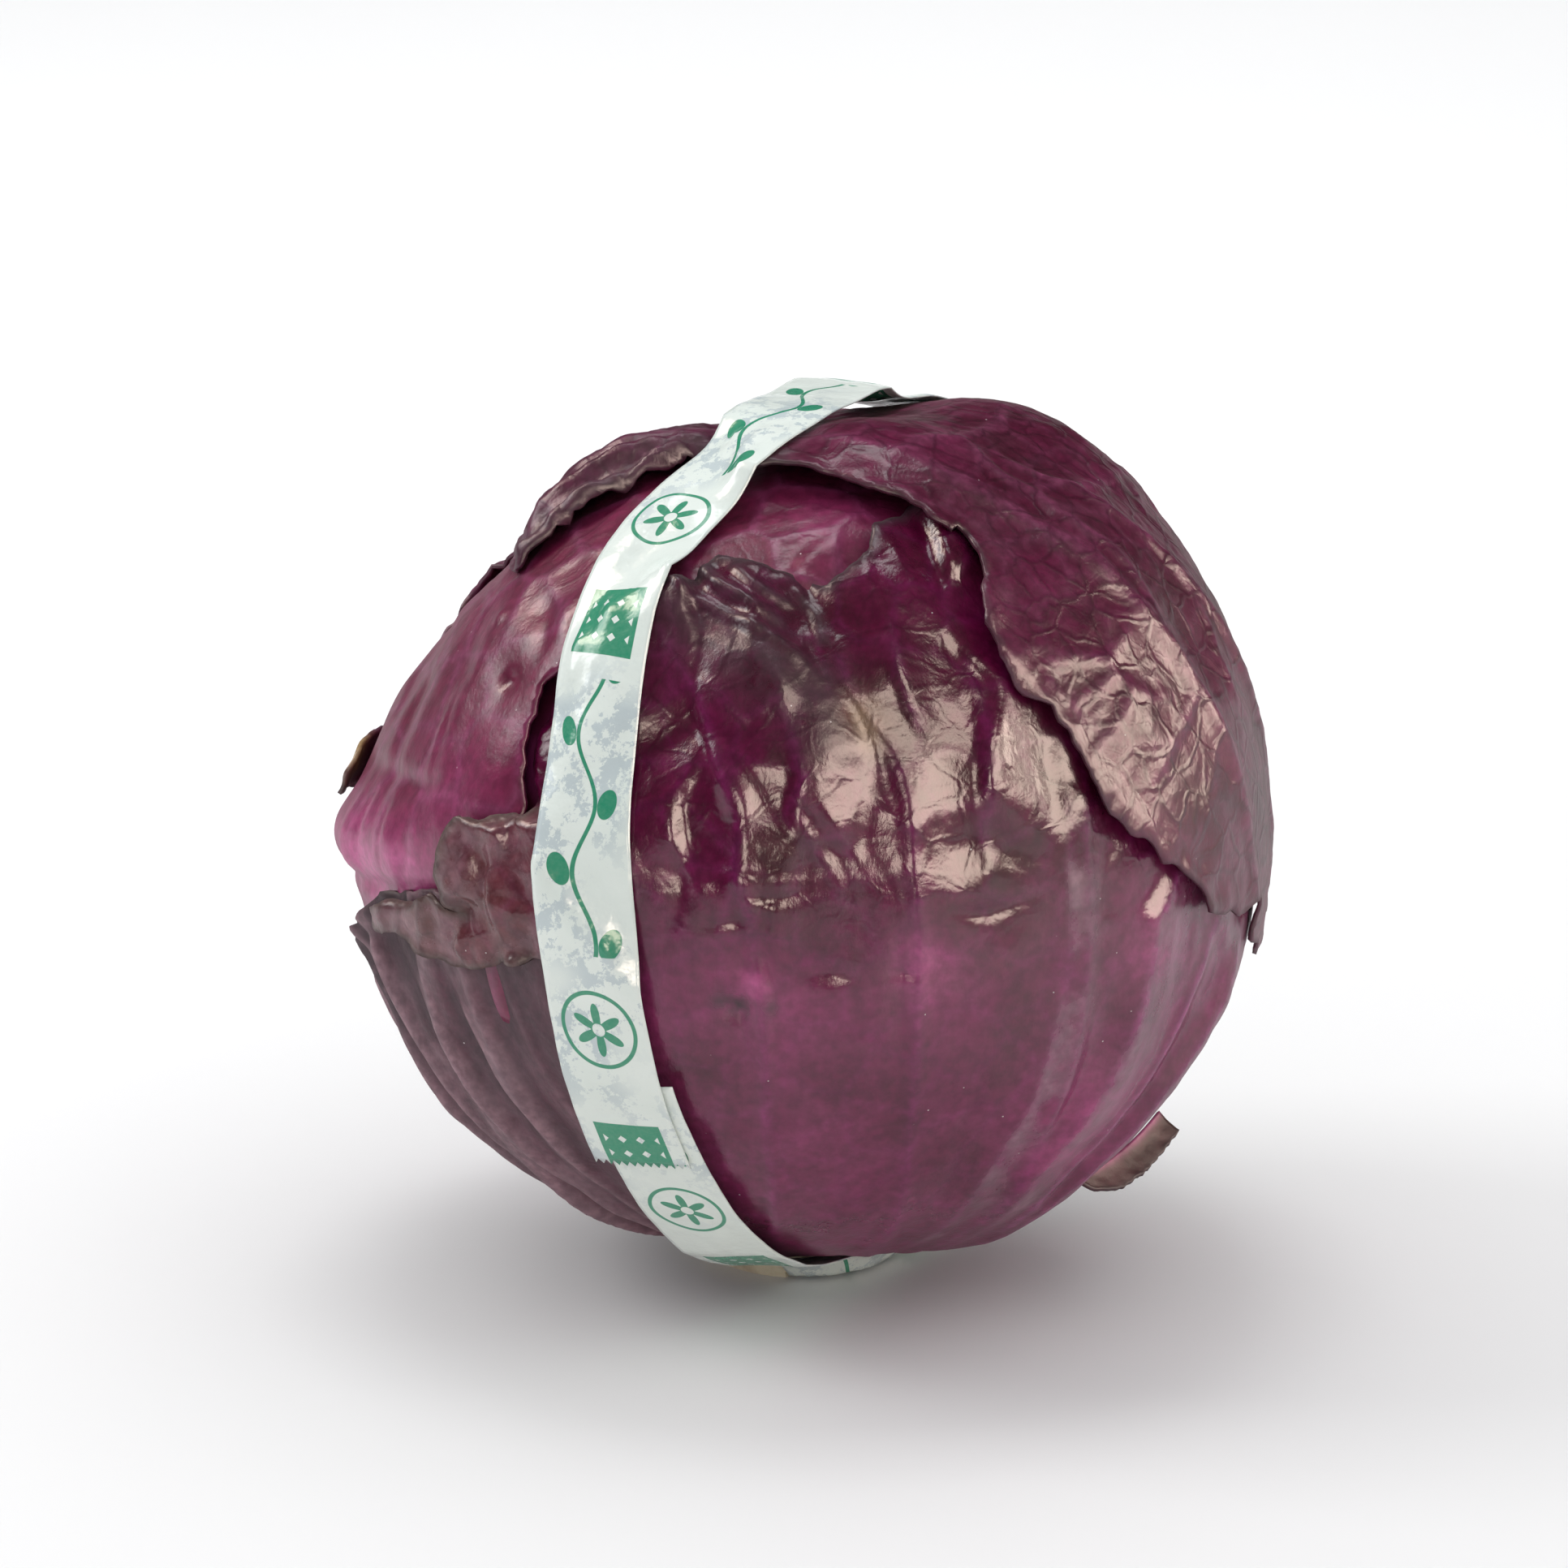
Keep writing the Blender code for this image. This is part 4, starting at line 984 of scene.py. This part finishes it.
# Cut stem. The plant's pale woody stalk, cut straight across under the head and stained as it dried. The
# head stands on its flat face.
WOOD_PALE = [(0.62, 0.53, 0.36), (0.76, 0.70, 0.55)]
WOOD_STAIN = (0.33, 0.21, 0.13)
wood = Finish("cut_stem_flesh", IOR=1.45)
rings = wood.noise(0.9, 4.0, 0.6)
stain = wood.noise(7, 4.0).step(0.4, 0.75)
wood.feed(
    Base_Color=wood.mix(stain, wood.mix(rings, *WOOD_PALE), WOOD_STAIN),
    Roughness=0.6 + 0.3 * rings,
)
wood.bump(rings, 0.15)
stem = bpy.data.objects["stem"]
stem.data.materials.clear()
stem.data.materials.append(wood.material)


# Film band. A thin milky strip printed in green, drawn once round the head with its cut end over its
# start, and slightly puckered where it bridges the hollows between the leaves.
BAND_LONGITUDE = -30.4
BAND_WIDTH = 13.8
BAND_FILM = 0.2
BAND_CLEAR = 0.25
BAND_ROWS = 460
BAND_COLUMNS = 24
BAND_START = -17.0
BAND_OVERLAP = 12.0
BAND_LINE = [
    (-17, -8.6), (-25, -10.3), (-39, -11.3), (-54, -12.4), (-90, -12.6), (-135, -10.0), (-180, -6.0),
    (-225, -1.0), (-245, 1.0), (-258, 0.5), (-270, -1.5), (-280, -2.6), (-292, -1.6), (-307, 1.8),
    (-321, 1.2), (-331, -0.6), (-341, -2.2), (-350, -3.8), (-359.5, -5.4), (-372, -7.0), (-389, -8.6),
]
CORE_STEP = 3
CORE_DEPTH = 1.8
CORE_BOTTOM = 4.8
STEM_RADIUS = 13
STEM_TOP = 0.9
STEM_SIDES = 36
SMOOTH_ROWS = 13
TAUT_ROUNDS = 28
TOOTH = 0.45
core_grid = [unit(lon, lat) for lat in range(-90, 91, CORE_STEP) for lon in range(-180, 181, CORE_STEP)]
core_directions = np.array(core_grid)
core_points = core_directions * (head_radius(core_directions) - CORE_DEPTH)[:, None]
core_points[:, 2] = np.maximum(core_points[:, 2], CORE_BOTTOM - MIDDLE_Z)
core_faces = grid_faces(180 // CORE_STEP + 1, 360 // CORE_STEP + 1)
laid.append((core_points, np.array(core_faces)))
stem_turns = np.linspace(0, 2 * math.pi, STEM_SIDES, endpoint=False)
stem_ring = [(STEM_RADIUS * math.cos(a), STEM_RADIUS * math.sin(a), STEM_TOP - MIDDLE_Z) for a in stem_turns]
laid.append((np.array(stem_ring), np.array([list(range(STEM_SIDES))])))
around = math.radians(BAND_LONGITUDE)
sideways = np.array([-math.cos(around), -math.sin(around), 0])
onward = np.array([math.sin(around), -math.cos(around), 0])
surfaces = [BVHTree.FromPolygons(points.tolist(), faces.tolist()) for points, faces in laid]
turns = np.linspace(BAND_START, BAND_START - 360 - BAND_OVERLAP, BAND_ROWS)
line_turns, line_offsets = np.array(BAND_LINE, float)[::-1].T
smoothing = np.ones(SMOOTH_ROWS) / SMOOTH_ROWS
padded = np.pad(np.interp(turns, line_turns, line_offsets), SMOOTH_ROWS // 2, "edge")
offsets = np.convolve(padded, smoothing, "valid")
widths = np.linspace(0.5, -0.5, BAND_COLUMNS + 1)
across = offsets[:, None] + BAND_WIDTH * widths
upright = np.cos(np.radians(turns))[:, None] * onward
upright = upright + np.sin(np.radians(turns))[:, None] * np.array([0, 0, 1])
rays = upright[:, None] * MAP_RADIUS + across[:, :, None] * sideways
rays /= np.linalg.norm(rays, axis=2, keepdims=True)
reach = np.zeros((BAND_ROWS, BAND_COLUMNS + 1))
for row in range(BAND_ROWS):
    for column in range(BAND_COLUMNS + 1):
        ray = Vector(rays[row, column])
        hits = [tree.ray_cast(ray * 2 * MAP_RADIUS, -ray)[0] for tree in surfaces]
        reach[row, column] = max(hit.length for hit in hits if hit)
need = reach.copy()
for _ in range(2):
    padded = np.pad(need, 1, "edge")
    beside = [padded[r : r + BAND_ROWS, c : c + BAND_COLUMNS + 1] for r in range(3) for c in range(3)]
    need = np.max(beside, axis=0)
need += BAND_CLEAR
film = need.copy()
for _ in range(TAUT_ROUNDS):
    padded = np.pad(film, 1, "edge")
    film = (padded[:-2, 1:-1] * 2 + padded[2:, 1:-1] * 2 + padded[1:-1, :-2] + padded[1:-1, 2:]) / 6
    film = np.maximum(film, need)
along = np.radians(BAND_START - turns) * MAP_RADIUS
grid_mm = np.stack(np.broadcast_arrays(along[:, None], BAND_WIDTH * widths[None]), axis=-1).reshape(-1, 2)
pucker = (0.16 * ripple(grid_mm, (9, 7), 80) + 0.07 * ripple(grid_mm, (3.5, 5), 81)).reshape(BAND_ROWS, -1)
raised = np.clip((BAND_START - 354 - turns) / 5, 0, 1) * (BAND_FILM + BAND_CLEAR)
film += BAND_FILM + raised[:, None] + np.maximum(pucker, -0.1)
film = np.minimum(film, (MIDDLE_Z - 0.05) / np.maximum(-rays[:, :, 2], 0.1))
teeth = TOOTH * (-1.0) ** np.arange(BAND_COLUMNS + 1)
last_step = rays[-1] * film[-1][:, None] - rays[-2] * film[-2][:, None]
band_rows = rays * film[:, :, None]
band_rows[-1] += last_step / np.linalg.norm(last_step, axis=1, keepdims=True) * teeth[:, None]
band_points = band_rows.reshape(-1, 3)
band_faces = grid_faces(BAND_ROWS, BAND_COLUMNS + 1)
band_mesh = bpy.data.meshes.new("film_band_strip")
band_mesh.from_pydata(((band_points + [0, 0, MIDDLE_Z]) * MM).tolist(), [], band_faces)
band_mesh.shade_smooth()
give(band_mesh, "along", grid_mm[:, 0])
give(band_mesh, "across", grid_mm[:, 1])
film_look = Finish("printed_film", IOR=1.5, Specular_IOR_Level=0.6, Roughness=0.2)
PRINT_REPEAT = 74.0
PRINT_SHIFT = 37.0
PRINT_GREEN = (0.012, 0.235, 0.125)
PANEL_MIDDLE = 6.5
PANEL_HALF = (5.2, 4.7)
PANEL_DOTS = 2.6
VINE_MIDDLE = 33
VINE_HALF = 18
VINE_SWING = 1.6
VINE_LEAVES = 9
ROSETTE_MIDDLE = 61
ROSETTE_RADIUS = 5.1
FILM_MILKY = [(0.62, 0.69, 0.64), (0.76, 0.80, 0.76)]
FILM_TOUCHING = (0.42, 0.49, 0.52)
length_mm = film_look.mask("along")
width_mm = film_look.mask("across")


def solid(distance):
    """Ink where a distance in mm is below 0, with a crisp edge."""
    return 1 - distance.step(-0.05, 0.05)


def either(first, second):
    return first.math("MAXIMUM", second)


def spot(along, across, wide, tall):
    """The signed distance, roughly in mm, to an ellipse at the middle of these two coordinates."""
    return ((along / wide) ** 2 + (across / tall) ** 2 - 1) * (0.5 * tall)


repeat = (length_mm + PRINT_SHIFT).math("MODULO", PRINT_REPEAT)
dots_along = (repeat / PANEL_DOTS).math("FRACT") - 0.5
dots_across = ((width_mm + 8 * PANEL_DOTS) / PANEL_DOTS).math("FRACT") - 0.5
lattice = solid((dots_along.absolute() + dots_across.absolute() - 0.24) * PANEL_DOTS)
panel_side = either((repeat - PANEL_MIDDLE).absolute() - PANEL_HALF[0], width_mm.absolute() - PANEL_HALF[1])
panel = solid(panel_side) * (1 - lattice * solid(panel_side + 0.8))
swing = (repeat * (math.tau / (2 * VINE_LEAVES))).math("SINE")
turn_side = swing.math("SIGN")
within_vine = solid((repeat - VINE_MIDDLE).absolute() - VINE_HALF)
vine_line = solid((width_mm - VINE_SWING * swing).absolute() - 0.32)
leaf_along = (repeat / VINE_LEAVES).math("FRACT") * VINE_LEAVES - 0.5 * VINE_LEAVES
leaf_across = width_mm * turn_side
vine_leaves = solid(spot(leaf_along + 0.45 * (leaf_across - 3.2), leaf_across - 3.4, 1.9, 1.5))
vine = either(vine_line, vine_leaves) * within_vine
rosette_along = repeat - ROSETTE_MIDDLE
far = (rosette_along**2 + width_mm**2) ** 0.5
petals = (width_mm.math("ARCTAN2", rosette_along) * 6).math("COSINE")
ring = solid((far - ROSETTE_RADIUS).absolute() - 0.28)
rosette = either(ring, solid(far - 2.4 - 1.3 * petals) * (1 - solid(far - 0.9)))
ink = either(either(panel, vine), rosette) * (0.9 + 0.1 * film_look.noise(0.6, 2.0))
milky = film_look.mix(film_look.noise(14, 3.0), *FILM_MILKY)
touching = film_look.noise(3.4, 6.0, 0.75).step(0.5, 0.54) * film_look.noise(24, 2.0).step(0.42, 0.58)
milky = film_look.mix(touching * 0.75, milky, FILM_TOUCHING)
milky = film_look.mix(ink, milky, PRINT_GREEN)
film_look.feed(Base_Color=milky)
film_look.bump(film_look.noise(3.5, 3.0), 0.2)
band_mesh.materials.append(film_look.material)
band = bpy.data.objects.new("film_band_strip", band_mesh)
studio.collection.objects.link(band)
thicken(band, BAND_FILM)
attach(band, "root")
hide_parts("film_band")
